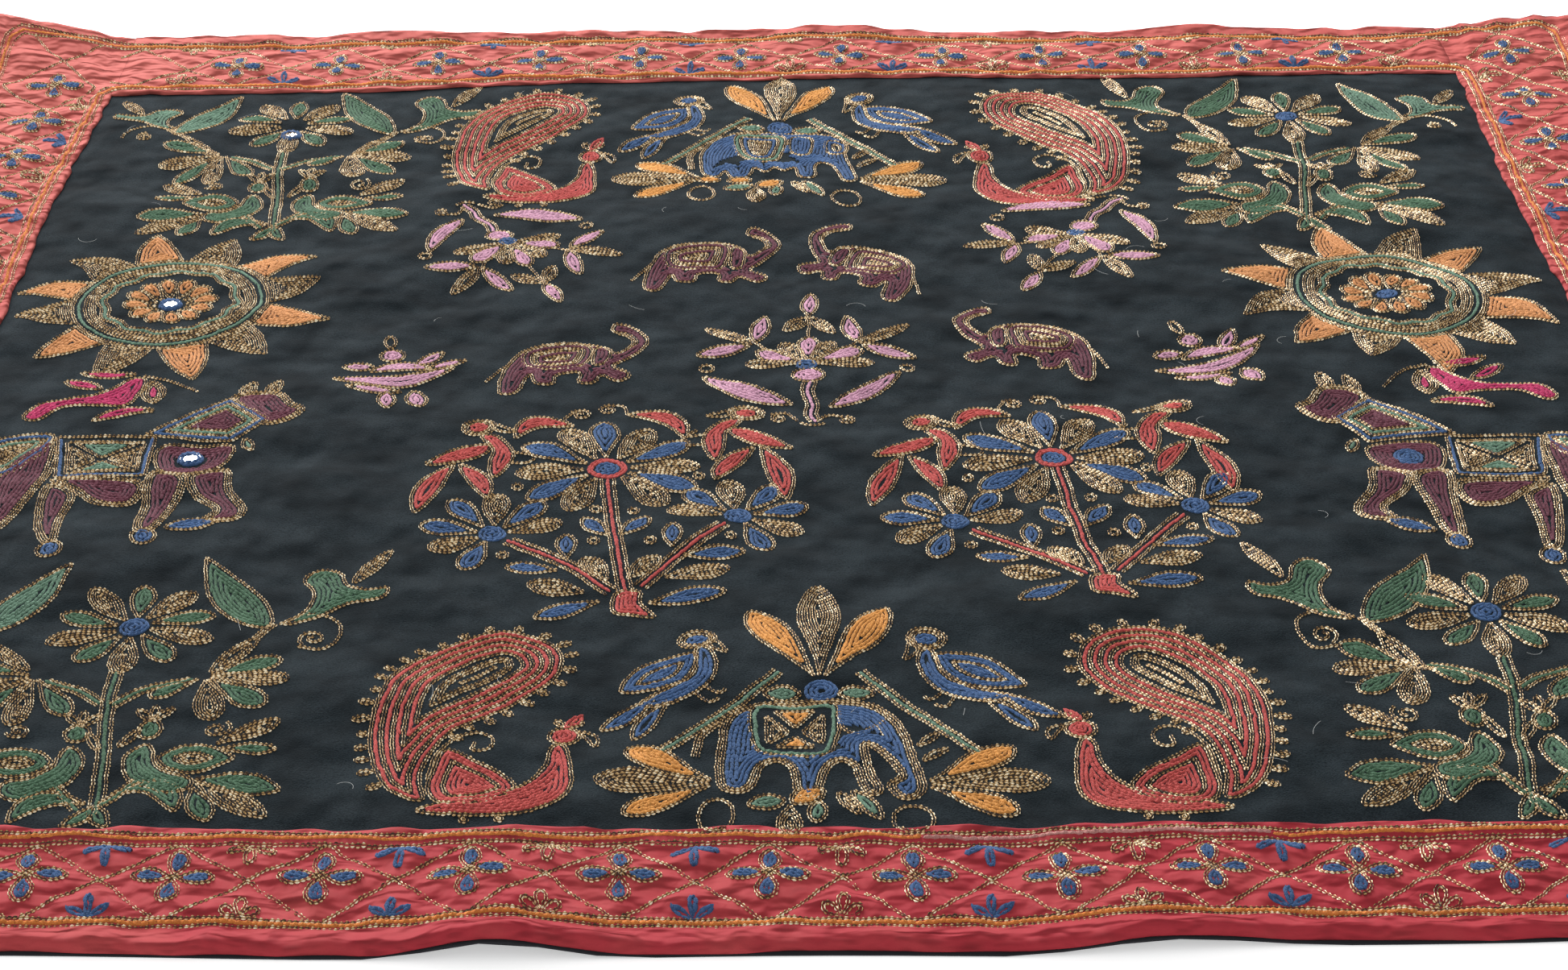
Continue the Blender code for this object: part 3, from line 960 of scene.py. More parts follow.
def petal(centre, degrees, near, far, width, belly=0.66, blunt=0.62):
    """A round-ended petal that points away from a flower's centre."""
    turn = math.radians(degrees)
    heading = np.array([math.cos(turn), math.sin(turn)])
    return leaf(centre + near * heading, centre + far * heading, width, 0.0, belly, blunt)


def ring(centre, across, down=None):
    """A closed round row."""
    turn = np.linspace(0.0, 2.0 * math.pi, max(10, round(across * 4)) + 1)
    down = across if down is None else down
    return np.stack([centre[0] + across * np.cos(turn), centre[1] + down * np.sin(turn)], axis=-1)


def turn_row(row, degrees, size):
    """A row stretched across and along, then turned about the middle of its drawing."""
    turn = math.radians(degrees)
    spin = np.array([[math.cos(turn), math.sin(turn)], [-math.sin(turn), math.cos(turn)]])
    return (row * np.array(size)) @ spin


def place_motif(rows, motif, at, turn=0.0, size=(1.0, 1.0), drift=0.0007):
    """Add a motif's rows, drawn in millimetres, at a place in metres seen from above."""
    for thread, lines in motif.items():
        for line in lines:
            row = turn_row(line, turn, size) * MILLIMETRE + np.array(at)
            rows[thread].append(hand_wander(row, drift, 61))


def border_flower(width):
    """Four petals crosswise and lengthwise, blue inside gold, with a gold knot."""
    motif = defaultdict(list)
    for degrees in (0, 90, 180, 270):
        motif["gold"].append(petal((0, 0), degrees, 1.5, FLOWER_PETAL, width, 0.6))
        filling = petal((0, 0), degrees, 5.5, FLOWER_PETAL - 2.6, width - 4.6, 0.58, 0.5)
        motif["blue"].append(filling)
        turn = math.radians(degrees)
        motif["blue"].append(np.outer((7.5, 13.5), (math.cos(turn), math.sin(turn))))
    motif["gold"].append(ring((0, 0), 1.6))
    return motif


def sprig(thread, size):
    """Three leaves from one base, the middle one longest: solid blue or gold loops."""
    motif = defaultdict(list)
    for lean, length in ((0.0, 15.0), (58.0, 12.5), (-58.0, 12.5)):
        width = 4.6 if thread == "gold" else 2.6
        motif[thread].append(petal((0, 0), 90 + lean, 1.0, length * size, width, 0.6))
    return motif


# How a motif drawn upright is turned so that its top points into the panel
STRIP_TURN = {"front": 0.0, "back": 180.0, "left": -90.0, "right": 90.0}
flower_rows = defaultdict(list)
random = np.random.default_rng(53)
for strip, (first, pitch, middle, reach_in, reach_out, outer) in STRIPS.items():
    limit = SIDE_INNER if strip in ("front", "back") else BACK_INNER + 0.050
    count = math.ceil(limit / pitch) + 6
    for number in range(-count, count + 1):
        at = first + number * pitch
        lean = STRIP_TURN[strip] + random.uniform(-6.0, 6.0)
        if abs(at) < limit - 0.012:
            spot = np.array(lay(*strip_point(strip, at, middle - 0.001)))
            stretch = (1.0, 0.98) if strip in ("front", "back") else (0.98, 1.06)
            place_motif(flower_rows, border_flower(FLOWER_PETAL_WIDTH), spot, lean, stretch)
        between = at + pitch / 2.0
        if abs(between) < limit - 0.014:
            thread = "blue" if number % 2 else "gold"
            spot = np.array(lay(*strip_point(strip, between, INNER_LINES[2] + 0.002)))
            place_motif(flower_rows, sprig(thread, 1.0), spot, lean + 180.0)
            spot = np.array(lay(*strip_point(strip, between, outer[0] - 0.001)))
            place_motif(flower_rows, sprig(thread, 0.8), spot, lean)
sew("border_flowers", flower_rows, 54)


# Mirrors: small round shisha glasses that lie on the panel, each held down by two
# rings of blue wool chain, one over its rim and one round it. The radii of the
# rings are in millimetres, as the motifs are.
RING_OVER_RIM = 4.8
RING_ROUND_RIM = 6.3
GLASS_COLOUR = (0.80, 0.84, 0.88, 1)
mirror_glass, tree, shader, place = new_material(
    "mirror_glass", roughness=0.06, metallic=1.0, base_color=GLASS_COLOUR
)
haze = patchy(tree, place, 0.003, 1.2)
set_bump(tree, shader, haze, 0.00015, 0.4)
mirror_rows = defaultdict(list)
for name in MIRROR_NODES:
    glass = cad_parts[name]
    glass.data.materials.clear()
    glass.data.materials.append(mirror_glass)
    motif = defaultdict(list)
    motif["blue"] = [ring((0, 0), RING_OVER_RIM), ring((0, 0), RING_ROUND_RIM)]
    place_motif(mirror_rows, motif, mirror_spots[name], drift=0.0)
sew("mirror_rings", mirror_rows, 55)


# Suns: one at each side of the panel. A twelve-petalled orange flower lies in a
# scalloped ring of sage and gold, with twelve pointed rays outside it, orange and
# gold by turns. The left one has a mirror in its middle.
wool("orange", (0.80, 0.34, 0.075))
wool("peach", (0.74, 0.32, 0.115))
wool("sage", (0.135, 0.25, 0.17))
RIGHT_SUN = (0.3500, 0.0979)
GOLD_GAP = 2.5
WOOL_GAP = 2.15
MOST_ROWS = 30
# Rings round the flower: radius, how often and how far it scallops, and thread
SUN_RINGS = (
    (35.6, 12, 1.4, "gold"), (38.0, 12, 1.4, "sage"), (40.4, 12, 1.4, "gold"), (43.4, 5, 0.5, "gold"),
    (45.8, 5, 0.5, "gold"), (48.6, 5, 0.5, "gold"), (52.2, 5, 0.5, "sage"), (55.8, 5, 0.5, "gold"),
)


def curve(points, closed=False):
    """A smooth row through a few given points, in millimetres."""
    points = np.array(points, float)
    if closed:
        points = np.vstack([points[-1:], points, points[:2]])
    else:
        points = np.vstack([2 * points[0] - points[1], points, 2 * points[-1] - points[-2]])
    parts = []
    for a, b, c, d in zip(points, points[1:], points[2:], points[3:]):
        share = np.linspace(0.0, 1.0, max(3, round(math.hypot(*(c - b)))), endpoint=False)[:, None]
        straight = 2 * b + (c - a) * share
        bent = (2 * a - 5 * b + 4 * c - d) * share**2 + (3 * b - a - 3 * c + d) * share**3
        parts.append(0.5 * (straight + bent))
    return np.vstack(parts + [points[-2:-1]])


def inside(points, outline):
    """Whether points lie inside a closed outline."""
    x, y = points[:, :1], points[:, 1:]
    ax, ay = outline[:-1, 0], outline[:-1, 1]
    bx, by = outline[1:, 0], outline[1:, 1]
    spans = (ay > y) != (by > y)
    rise = np.where(by == ay, 1e-9, by - ay)
    return (spans & (x < ax + (bx - ax) * (y - ay) / rise)).sum(axis=1) % 2 == 1


def echo_rows(outline, depth):
    """The rows at one depth inside an outline, where the shape is wide enough for them."""
    edge = finer(outline, 0.8)[:-1]
    inward = left_of(np.roll(edge, -1, axis=0) - np.roll(edge, 1, axis=0))
    turned = (edge[:, 0] * np.roll(edge[:, 1], -1) - edge[:, 1] * np.roll(edge[:, 0], -1)).sum()
    moved = edge + math.copysign(depth, turned) * inward
    away = np.hypot(*(moved[:, None] - edge[None]).transpose(2, 0, 1)).min(axis=1)
    keep = away > 0.96 * depth
    if keep.all():
        return [np.vstack([moved, moved[:1]])]
    first = np.flatnonzero(~keep)[0]
    return rows_within(np.roll(moved, -first, axis=0), np.roll(keep, -first))


def work(motif, outline, names, clear=()):
    """Stitch a shape: its outline in the first thread, then echo rows until it is full."""
    names = names.split()
    motif[names[0]].append(outline)
    depth, number = 0.0, 1
    while number < MOST_ROWS:
        name = names[min(number, len(names) - 1)]
        gold = "gold" in (name, names[min(number, len(names)) - 1])
        depth += GOLD_GAP if gold else WOOL_GAP
        rows = echo_rows(outline, depth)
        if not rows:
            break
        for row in rows:
            keep = np.ones(len(row), bool)
            for other in clear:
                keep &= ~inside(row, other)
            if name != "none":
                motif[name] += rows_within(row, keep)
        number += 1


def wavy_ring(radius, waves, depth):
    """A closed row that scallops in and out round a centre."""
    turn = np.linspace(0.0, 2.0 * math.pi, round(radius * 5))
    reach = radius + depth * np.cos(waves * turn)
    return np.stack([reach * np.cos(turn), reach * np.sin(turn)], axis=-1)


def ray(degrees, foot, reach, half_turn, lean):
    """A pointed ray on the outer ring, its tip leaning a little to one side."""
    aside = np.array([-half_turn, -0.5 * half_turn, lean, 0.5 * half_turn, half_turn])
    around = np.radians(degrees + aside)
    waist = foot + 0.55 * (reach - foot)
    out = np.array([foot, waist, reach, waist, foot])
    points = np.stack([out * np.cos(around), out * np.sin(around)], axis=-1)
    sides = [curve(points[:3]), curve(points[2:])[1:]]
    closing = np.radians(degrees + np.linspace(half_turn, -half_turn, 8))
    base = foot * np.stack([np.cos(closing), np.sin(closing)], axis=-1)
    return np.vstack(sides + [base[1:]])


def sun(seed, mirrored):
    """A whole sun, drawn in millimetres about its centre."""
    motif = defaultdict(list)
    random = np.random.default_rng(seed)
    if not mirrored:
        work(motif, ring((0, 0), 5.5), "blue blue")
    for k in range(12):
        work(motif, petal((0, 0), 12 + 30 * k, 8.5, 27, 10.5), "gold peach")
    for radius, waves, depth, thread in SUN_RINGS:
        motif[thread].append(wavy_ring(radius, waves, depth))
    for k in range(12):
        reach = (96.0 if k % 2 else 90.0) + random.uniform(-5.0, 6.0)
        shape = ray(15 + 30 * k + random.uniform(-2, 2), 57.5, reach, 14.0, random.uniform(-7, 7))
        work(motif, shape, "gold peach" if k % 2 else "gold gold")
    return motif


def sew_repeats(name, drawings, seed):
    """Sew drawings, each at its places; a place may be followed by its turn and stretch."""
    rows = defaultdict(list)
    for motif, repeats in drawings:
        for spot, *turn_and_size in repeats:
            place_motif(rows, motif, spot, *turn_and_size)
    sew(name, rows, seed)


left_sun = [(mirror_spots["mirror_sun"],)]
sew_repeats("suns", ((sun(71, True), left_sun), (sun(72, False), [(RIGHT_SUN,)])), 56)


# Green plants: one in each corner of the panel. A ten-petalled flower tops a
# stem with two branches of half flowers, tulips and leaves, and two crested
# green birds sit at its foot.
wool("green", (0.064, 0.148, 0.080))
PLANTS = (
    # place, stretch across and along, shift of the topmost leaves and buds
    ((-0.3230, 0.3500), (1.0, 1.0), (0, -10)),
    ((0.3290, 0.3640), (-1.0, 1.0), (0, -3)),
    ((-0.3150, -0.2680), (1.0, 0.92), (0, 0)),
    ((0.3390, -0.2540), (-1.0, 0.96), (-6, -12)),
)


def beside(row, offset):
    """A row that runs beside another at a distance."""
    return row + offset * left_of(np.gradient(row, axis=0))


def stalk(motif, points, thread, gap=2.3):
    """A stem: one row of wool between two of gold, or two of gold alone."""
    row = curve(points)
    motif["gold"] += [beside(row, gap), beside(row, -gap)]
    if thread:
        motif[thread].append(row)


def spiral(motif, centre, radius, start, turns):
    """A gold tendril that winds in from its outer end; turns may be negative."""
    share = np.linspace(0.0, 1.0, 26)
    angle = math.radians(start) + 2.0 * math.pi * turns * share
    reach = radius * (1.0 - 0.8 * share)
    spot = np.stack([centre[0] + reach * np.cos(angle), centre[1] + reach * np.sin(angle)], axis=-1)
    motif["gold"].append(spot)


def fan(motif, centre, petals):
    """Petals from one point: degrees, length, width and threads."""
    for degrees, length, width, names in petals:
        work(motif, petal(centre, degrees, 3.0, length, width, 0.7), names)


def green_bird(motif, at, facing):
    """A crested bird that looks towards the stem, its tail spread behind."""
    x, y = at

    def spot(across, up):
        """A point of the bird, facing right or left."""
        return (x + facing * across, y + up)

    throat = [
        (22, 15), (28, 8), (30, -3), (26, -16), (18, -23), (8, -29), (-2, -25), (-2, -16), (9, -12),
        (16, -3), (18, 8),
    ]
    wing = leaf(spot(15, 1), spot(-20, 0), 24, 0.0, 0.42)
    work(motif, wing, "gold green green gold")
    throat = curve([spot(*point) for point in throat], True)
    work(motif, throat, "gold green", clear=[wing])
    work(motif, ring(spot(23, 27), 5.5, 7.5), "gold green")
    motif["gold"].append(leaf(spot(27, 28), spot(35, 11), 4))
    for lean in (-38, 0, 38):
        tip = spot(23 + 14 * math.sin(math.radians(lean)), 34 + 13 * math.cos(math.radians(lean)))
        motif["gold"].append(leaf(spot(23, 34), tip, 4.0))
    for foot, tip, width, names in (
        ((-10, 13), (-36, 32), 11, "gold gold"), ((-13, 8), (-38, 9), 8, "gold green"),
        ((-4, -17), (-44, -24), 17, "gold green"), ((-5, -20), (-40, -47), 13, "gold gold"),
        ((-4, -24), (-14, -50), 11, "gold green"),
    ):
        work(motif, leaf(spot(*foot), spot(*tip), width, 0.0, 0.6), names)
    stalk(motif, [spot(21, -18), spot(28, -28), spot(34, -36)], "green", 2.0)


def join(motif, other, at, turn=0.0, size=(1.0, 1.0)):
    """Draw one motif into another, in millimetres."""
    for thread, lines in other.items():
        motif[thread] += [turn_row(line, turn, size) + np.array(at) for line in lines]


def trumpet(motif, side, lift, thread):
    """A trumpet bud at the end of a branch, with a gold leaf above it."""
    shape = curve([
        (72, 3), (82, 16), (83, 34), (76, 50), (84, 60), (94, 54), (98, 40), (108, 35), (119, 37),
        (117, 27), (101, 22), (87, 8),
    ], True) * (side, lift)
    work(motif, shape, "gold " + thread)
    work(motif, leaf((side * 101, 42 * lift), (side * 117, 78 * lift), 8), "gold gold")


def green_plant(mirrored, shift):
    """A whole plant, drawn in millimetres about its flower."""
    motif = defaultdict(list)
    if not mirrored:
        work(motif, ring((0, 0), 6.5), "blue blue")
    order = "green gold green gold green gold green gold green gold".split()
    for k, name in enumerate(order):
        length = 40 + (2 if k % 2 else -1)
        shape = petal((0, 0), 90 - 36 * k, 8.5, length, 12.5 if k % 2 else 11.5, 0.64)
        work(motif, shape, "gold " + name)
    stalk(motif, [(-1, -40), (1, -80), (6, -120), (10, -160)], "green", 2.8)
    work(motif, leaf((10, -158), (-3, -176), 8, 2), "gold green")
    work(motif, leaf((10, -158), (18, -176), 8, -2), "gold green")
    # left branch: half flower and above it a leaf, a bud and a tendril
    stalk(motif, [(-3, -72), (-16, -60), (-32, -52)], "green", 2.4)
    fan(motif, (-38, -48), (
        (160, 44, 13, "gold green"), (209, 43, 14, "gold gold"), (240, 50, 11, "gold green"),
        (266, 46, 11, "gold gold"), (302, 40, 12, "gold green"),
    ))
    tops = defaultdict(list)
    work(tops, leaf((-42, -42), (-66, -14), 7), "gold gold")
    stalk(tops, [(-64, -16), (-72, -6), (-80, 2)], None, 1.2)
    work(tops, leaf((-76, -6), (-40, 58), 21, -3, 0.40, 1.0), "gold sage")
    trumpet(tops, -1.0, 0.62, "sage")
    tops["gold"].append(curve([(-80, 2), (-92, 6), (-104, -2), (-108, -14)]))
    spiral(tops, (-93, -12), 5.5, 80, 1.6)
    # right branch
    stalk(motif, [(2, -74), (16, -60), (36, -52)], "green", 2.4)
    fan(motif, (42, -49), (
        (28, 38, 14, "gold green"), (-6, 40, 13, "gold gold"), (-42, 42, 14, "gold green"),
        (-78, 38, 14, "gold gold"), (-142, 30, 10, "gold green"),
    ))
    work(tops, leaf((44, -44), (62, -10), 9), "gold gold")
    stalk(tops, [(60, -12), (64, -4), (68, 4)], None, 1.2)
    work(tops, leaf((66, 0), (26, 68), 23, 4, 0.38, 1.0), "gold green")
    trumpet(tops, 1.0, 1.0, "green")
    tops["gold"].append(curve([(70, 4), (84, 12), (98, 4), (100, -10), (94, -22), (82, -20)]))
    spiral(tops, (88, -12), 7, -120, -1.5)
    join(motif, tops, shift)
    # birds and base leaves
    green_bird(motif, (-32, -125), 1)
    green_bird(motif, (46, -122), -1)
    spiral(motif, (-36, -98), 6, 200, 1.5)
    spiral(motif, (54, -95), 7.5, 60, -1.5)
    work(motif, leaf((5, -156), (-26, -172), 12, -11, 0.55), "gold green")
    work(motif, leaf((14, -150), (46, -166), 13, 12, 0.6), "gold green")
    return motif


for number, (spot, stretch, shift) in enumerate(PLANTS):
    plant_rows = defaultdict(list)
    place_motif(plant_rows, green_plant(number == 0, shift), spot, size=stretch)
    sew("green_plant_" + str(number + 1), plant_rows, 80 + number)


# Red peacocks: four, in pairs beside the elephants. The tail is one big paisley
# that rises behind the bird and curls over it, in echoing rows of red wool and
# gold with a gold heart and small gold loops all round.
wool("red", (0.54, 0.072, 0.062))
PEACOCK_SPOTS = (
    ((-0.1686, 0.3229), 0.0, (0.98, 1.0)),
    ((0.1693, 0.3207), 0.0, (-1.06, 1.0)),
    ((-0.1443, -0.3429), 0.0, (0.98, 0.83)),
    ((0.1764, -0.3407), 0.0, (-0.98, 0.82)),
)


def peacock():
    """A peacock facing right, drawn in millimetres about the middle of its outline."""
    motif = defaultdict(list)
    tail = curve([
        (-18, -84), (-37, -68), (-46, -24), (-42, 30), (-20, 68), (8, 83), (33, 71), (38, 42),
        (18, 10), (-8, -20), (-20, -58),
    ], True)
    work(motif, tail, "gold red gold red gold red gold red gold none gold gold none gold")
    edge = finer(tail, 12.0)
    outward = left_of(np.gradient(edge, axis=0))
    random = np.random.default_rng(88)
    for foot, heading in list(zip(edge, outward))[2:-5]:
        tip = foot + 8.0 * heading + random.normal(0.0, 1.2, 2)
        motif["gold"].append(leaf(foot + 1.2 * heading, tip, 4.2))
    wing = curve([
        (-10, -40), (4, -50), (18, -62), (24, -76), (8, -89), (-9, -88), (-16, -74), (-14, -54),
    ], True)
    work(motif, wing, "gold red red gold red")
    body = curve([
        (-20, -93), (4, -99), (32, -95), (47, -80), (48, -52), (44, -31), (38, -34), (36, -54),
        (26, -73), (8, -84), (-6, -87),
    ], True)
    work(motif, body, "gold red", clear=[wing])
    work(motif, ring((43.5, -21), 7.5, 8.5), "gold red red")
    motif["gold"].append(leaf((49, -16), (58, -32), 5, 3))
    work(motif, leaf((43, -12), (50, 1), 5), "red")
    for lean in (35, -40):
        motif["gold"].append(petal((44, -13), 90 + lean, 1.5, 11, 4))
    curl = [(-17, -66), (-14, -44), (-6, -28), (3, -21), (11, -26), (9, -38), (2, -40), (3, -31)]
    motif["gold"].append(curve(curl))
    for spot in ((2, -100), (18, -99)):
        motif["gold"].append(leaf(spot, (spot[0] + 1, spot[1] - 5), 4))
    return motif


sew_repeats("peacocks", ((peacock(), PEACOCK_SPOTS),), 90)


# Elephant groups: one in the middle at each end. A blue elephant under a saddle
# cloth carries a tall fan of three petals, sage and gold lines slope down to a
# fan at each side, and a blue bird sits above each slope.
BACK_GROUP = ((-0.0051, 0.2990), 0.0, (1.0, 1.0))
FRONT_GROUP = ((0.0150, -0.3643), 0.0, (0.97, 0.92))
SIDE_FAN = ((33, 52, 16, "gold orange"), (2, 58, 18, "gold gold"), (-30, 50, 14, "gold orange"))


def perched_bird(thread):
    """A small bird facing right with a round wing and a forked tail."""
    motif = defaultdict(list)
    work(motif, ring((12, 36), 9.5, 8.5), "gold gold " + thread)
    motif["gold"].append(leaf((20, 40), (27, 20), 5, -3))
    wing = leaf((12, 22), (-24, -14), 25, 2, 0.5)
    work(motif, wing, " ".join(("gold", thread, thread, "gold", thread)))
    breast = [(12, 26), (19, 24), (22, 4), (14, -14), (-2, -26), (-14, -24), (2, -10), (12, 4)]
    work(motif, curve(breast, True), "gold " + thread, clear=[wing])
    work(motif, leaf((-6, -18), (-32, -47), 10, 1, 0.6), "gold " + thread)
    work(motif, leaf((0, -22), (-16, -57), 9, -1, 0.6), "gold " + thread)
    motif["gold"].append(curve([(16, -10), (24, -16), (27, -12)]))
    motif["gold"].append(curve([(12, -16), (19, -24), (24, -20)]))
    return motif


def facet(motif, corners, names):
    """A small shape with straight sides."""
    work(motif, finer(np.array(corners + corners[:1], float), 1.5), names)


def long_elephant(motif):
    """The elephant of the front end, with long legs and a crossed saddle cloth."""
    saddle = curve([(-32, 31), (-31, -3), (-24, -12), (-2, -13), (6, -4), (9, 31), (-10, 32)], True)
    work(motif, saddle, "gold sage none")
    facet(motif, [(-22, 27), (-2, 27), (-12, 12)], "gold orange")
    facet(motif, [(-21, -5), (-3, -5), (-12, 5)], "gold orange")
    facet(motif, [(-26, 22), (-25, -2), (-15, 9)], "gold gold")
    facet(motif, [(2, 22), (1, -2), (-9, 9)], "gold gold")
    body = curve([
        (-44, 20), (-47, -6), (-47, -38), (-39, -46), (-31, -41), (-27, -25), (-20, -19), (-14, -26),
        (-11, -46), (-5, -50), (0, -45), (3, -24), (9, -17), (15, -22), (21, -44), (28, -42),
        (23, -20), (22, -4), (30, -14), (37, -29), (31, -37), (38, -49), (48, -41), (44, -12),
        (37, 17), (25, 32), (0, 36), (-30, 33),
    ], True)
    work(motif, body, "gold gold blue", clear=[saddle])
    motif["gold"].append(curve([(9, 26), (12, 9), (20, 7), (27, 14), (31, 4)]))
    motif["gold"].append(ring((30, 17), 1.6))
    stalk(motif, [(-47, 16), (-56, 2), (-58, -16)], None, 1.2)
    for spot, tip in (((46, -6), (56, 6)), ((48, -18), (60, -8))):
        motif["gold"].append(leaf(spot, tip, 4))


def short_elephant(motif):
    """The elephant of the back end, with short legs and a banded saddle cloth."""
    saddle = curve([(-29, 30), (-27, 4), (-19, -8), (-7, -9), (1, 1), (3, 30), (-12, 33)], True)
    work(motif, saddle, "gold sage gold blue gold")
    cheek = curve([(7, 29), (8, 8), (19, 6), (20, 28)], True)
    work(motif, cheek, "gold blue")
    head = curve([(30, 25), (31, 8), (37, 4), (43, 10), (42, 23)], True)
    work(motif, head, "gold blue gold")
    body = curve([
        (-48, -28), (-50, -2), (-42, 22), (-24, 34), (14, 36), (34, 32), (42, 22), (42, 0), (48, -34),
        (40, -37), (34, -16), (27, -10), (23, -16), (22, -33), (13, -34), (10, -20), (3, -25),
        (-3, -19), (-9, -26), (-16, -20), (-20, -34), (-30, -35), (-34, -24), (-39, -34),
    ], True)
    work(motif, body, "gold blue", clear=[saddle, cheek, head])
    for spot in ((-44, -39), (-25, -40)):
        work(motif, ring(spot, 7.5, 4.5), "gold orange")
    stalk(motif, [(-50, 14), (-57, -2), (-56, -22)], None, 1.2)
    for spot, tip in (((46, -2), (58, 12)), ((48, -14), (62, -2))):
        motif["gold"].append(leaf(spot, tip, 4))


def leaves(motif, table):
    """Leaves: base, tip, width and threads, then bend, belly and bluntness where set."""
    for base, tip, width, names, *form in table:
        work(motif, leaf(base, tip, width, *form), names)


def elephant_group(elephant, fan_height):
    """The whole group, drawn in millimetres about the elephant's saddle."""
    motif = defaultdict(list)
    elephant(motif)
    # tall fan, disc and side leaves
    work(motif, ring((1, 44), 7.5), "blue blue")
    tall_fan = (
        (117, 76, 19, "gold orange"), (90, fan_height, 20, "gold gold"), (63, 76, 19, "gold orange"),
    )
    for degrees, far, width, names in tall_fan:
        work(motif, petal((0, 50), degrees, 6, far, width, 0.68, 0.7), names)
    for side in (-1, 1):
        work(motif, leaf((side * 9, 42), (side * 27, 42), 11), "gold sage")
        stalk(motif, [(side * 20, 60), (side * 46, 24), (side * 74, -12)], "sage", 2.4)
        for degrees, far, width, names in SIDE_FAN:
            angle = degrees if side > 0 else 180 - degrees
            work(motif, petal((side * 47, -37), angle, 4, far, width, 0.7), names)
    # leaves, drops and rings underfoot
    leaves(motif, (
        ((-16, -50), (-34, -56), 11, "gold sage"), ((2, -42), (-14, -52), 13, "gold orange"),
        ((-14, -54), (-15, -79), 11, "gold gold", 0, 0.6), ((-1, -52), (-3, -68), 8, "gold sage"),
        ((8, -44), (18, -62), 7, "gold gold"), ((15, -42), (28, -66), 8, "gold sage"),
    ))
    motif["gold"] += [ring((-48, -64), 8, 13), ring((42, -66), 9, 11)]
    join(motif, perched_bird("blue"), (-72, 57))
    join(motif, perched_bird("blue"), (73, 57), 14, (-1.0, 1.0))
    return motif


back_group = elephant_group(short_elephant, 84)
front_group = elephant_group(long_elephant, 94)
sew_repeats("elephant_groups", ((back_group, [BACK_GROUP]), (front_group, [FRONT_GROUP])), 91)


# Pink plants: three of one kind about the middle. A fan of pink and gold petals
# stands on a zigzag stem between two long leaves, with leafy stalks above. The
# middle one stands upright and the upper two lie over on their sides.
wool("pink", (0.70, 0.36, 0.50))
PINK_PLANT_SPOTS = (
    ((0.0107, 0.0071), 0.0, (1.0, 1.0)),
    ((-0.1679, 0.1643), 207.0, (0.94, 0.94)),
    ((0.1750, 0.1786), -207.0, (-0.94, 0.94)),
)


def pink_plant():
    """A plant drawn in millimetres about the blue disc of its flower."""
    motif = defaultdict(list)
    work(motif, ring((0, 0), 5.5, 4.5), "blue blue")
    fan(motif, (0, 2), (
        (88, 35, 12, "gold pink"), (116, 31, 11, "gold gold"), (62, 31, 11, "gold gold"),
        (150, 32, 12, "gold pink"), (28, 36, 14, "gold pink"), (176, 34, 10, "gold gold"),
        (0, 38, 10, "gold gold"),
    ))
    work(motif, ring((1, -12), 9, 8), "gold pink")
    stem = [(2, -20), (0, -32), (3, -44), (2, -56), (5, -64)]
    stalk(motif, stem, "pink", 3.2)
    work(motif, leaf((-8, -45), (-58, -12), 16, 4, 0.5), "gold pink")
    work(motif, leaf((12, -46), (52, -7), 12, -4, 0.45), "gold pink")
    for side in (-1, 1):
        motif["gold"].append(curve([(side * 5, -64), (side * 12, -56), (side * 20, -58)]))
        spiral(motif, (side * 18 + 3, -62), 5, 90, -side * 1.4)
    motif["gold"].append(curve([(-4, -66), (3, -69), (10, -66)]))
    # stalks above and beside
    motif["gold"].append(curve([(1, 38), (2, 62)]))
    leaves(motif, (
        ((2, 62), (3, 92), 10, "gold pink"), ((1, 60), (-13, 44), 9, "gold gold"),
        ((3, 60), (16, 42), 8, "gold gold"),
    ))
    for side in (-1, 1):
        motif["gold"].append(curve([(side * 16, 16), (side * 24, 22), (side * 29, 28)]))
        leaves(motif, (
            ((side * 29, 28), (side * 23, 62), 10, "gold pink"),
            ((side * 30, 26), (side * 58, 48), 9, "gold gold"),
            ((side * 32, 24), (side * 62, 11), 11, "gold pink"),
        ))
        motif["gold"].append(ring((side * 56, -2), 4))
    return motif


sew_repeats("pink_plants", ((pink_plant(), PINK_PLANT_SPOTS),), 92)


# Small elephants: four of maroon wool with raised trunks, their saddles worked
# in bands of gold.
wool("maroon", (0.14, 0.028, 0.050))
SMALL_ELEPHANT_SPOTS = (
    ((-0.0464, 0.1429), 0.0, (1.0, 1.0)),
    ((0.0450, 0.1429), -22.0, (-1.0, 1.0)),
    ((-0.1214, 0.0143), 0.0, (1.0, 1.0)),
    ((0.1357, 0.0357), -4.0, (-1.0, 1.0)),
)


def small_elephant():
    """An elephant facing right, drawn in millimetres about its saddle."""
    motif = defaultdict(list)
    body = curve([
        (-38, -32), (-36, -12), (-28, 8), (-14, 18), (4, 20), (18, 16), (24, 6), (30, 12), (36, 22),
        (30, 32), (22, 34), (24, 42), (34, 38), (42, 24), (38, 10), (30, -2), (24, -10), (34, -18),
        (28, -26), (18, -20), (14, -28), (6, -28), (6, -18), (-6, -20), (-8, -30), (-18, -30),
        (-22, -20), (-28, -40), (-36, -42),
    ], True)
    saddle = curve([(-26, 8), (-25, -8), (-14, -13), (4, -12), (9, -4), (10, 17), (-10, 18)], True)
    work(motif, saddle, "gold maroon gold gold maroon gold")
    shoulder = curve([(13, 15), (12, -6), (16, -9), (20, -4), (21, 12)], True)
    work(motif, shoulder, "gold maroon")
    work(motif, body, "gold maroon", clear=[saddle, shoulder])
    motif["gold"].append(curve([(30, 11), (34, 20), (31, 29), (25, 32)]))
    motif["gold"].append(curve([(-34, -6), (-42, -20), (-46, -28)]))
    return motif


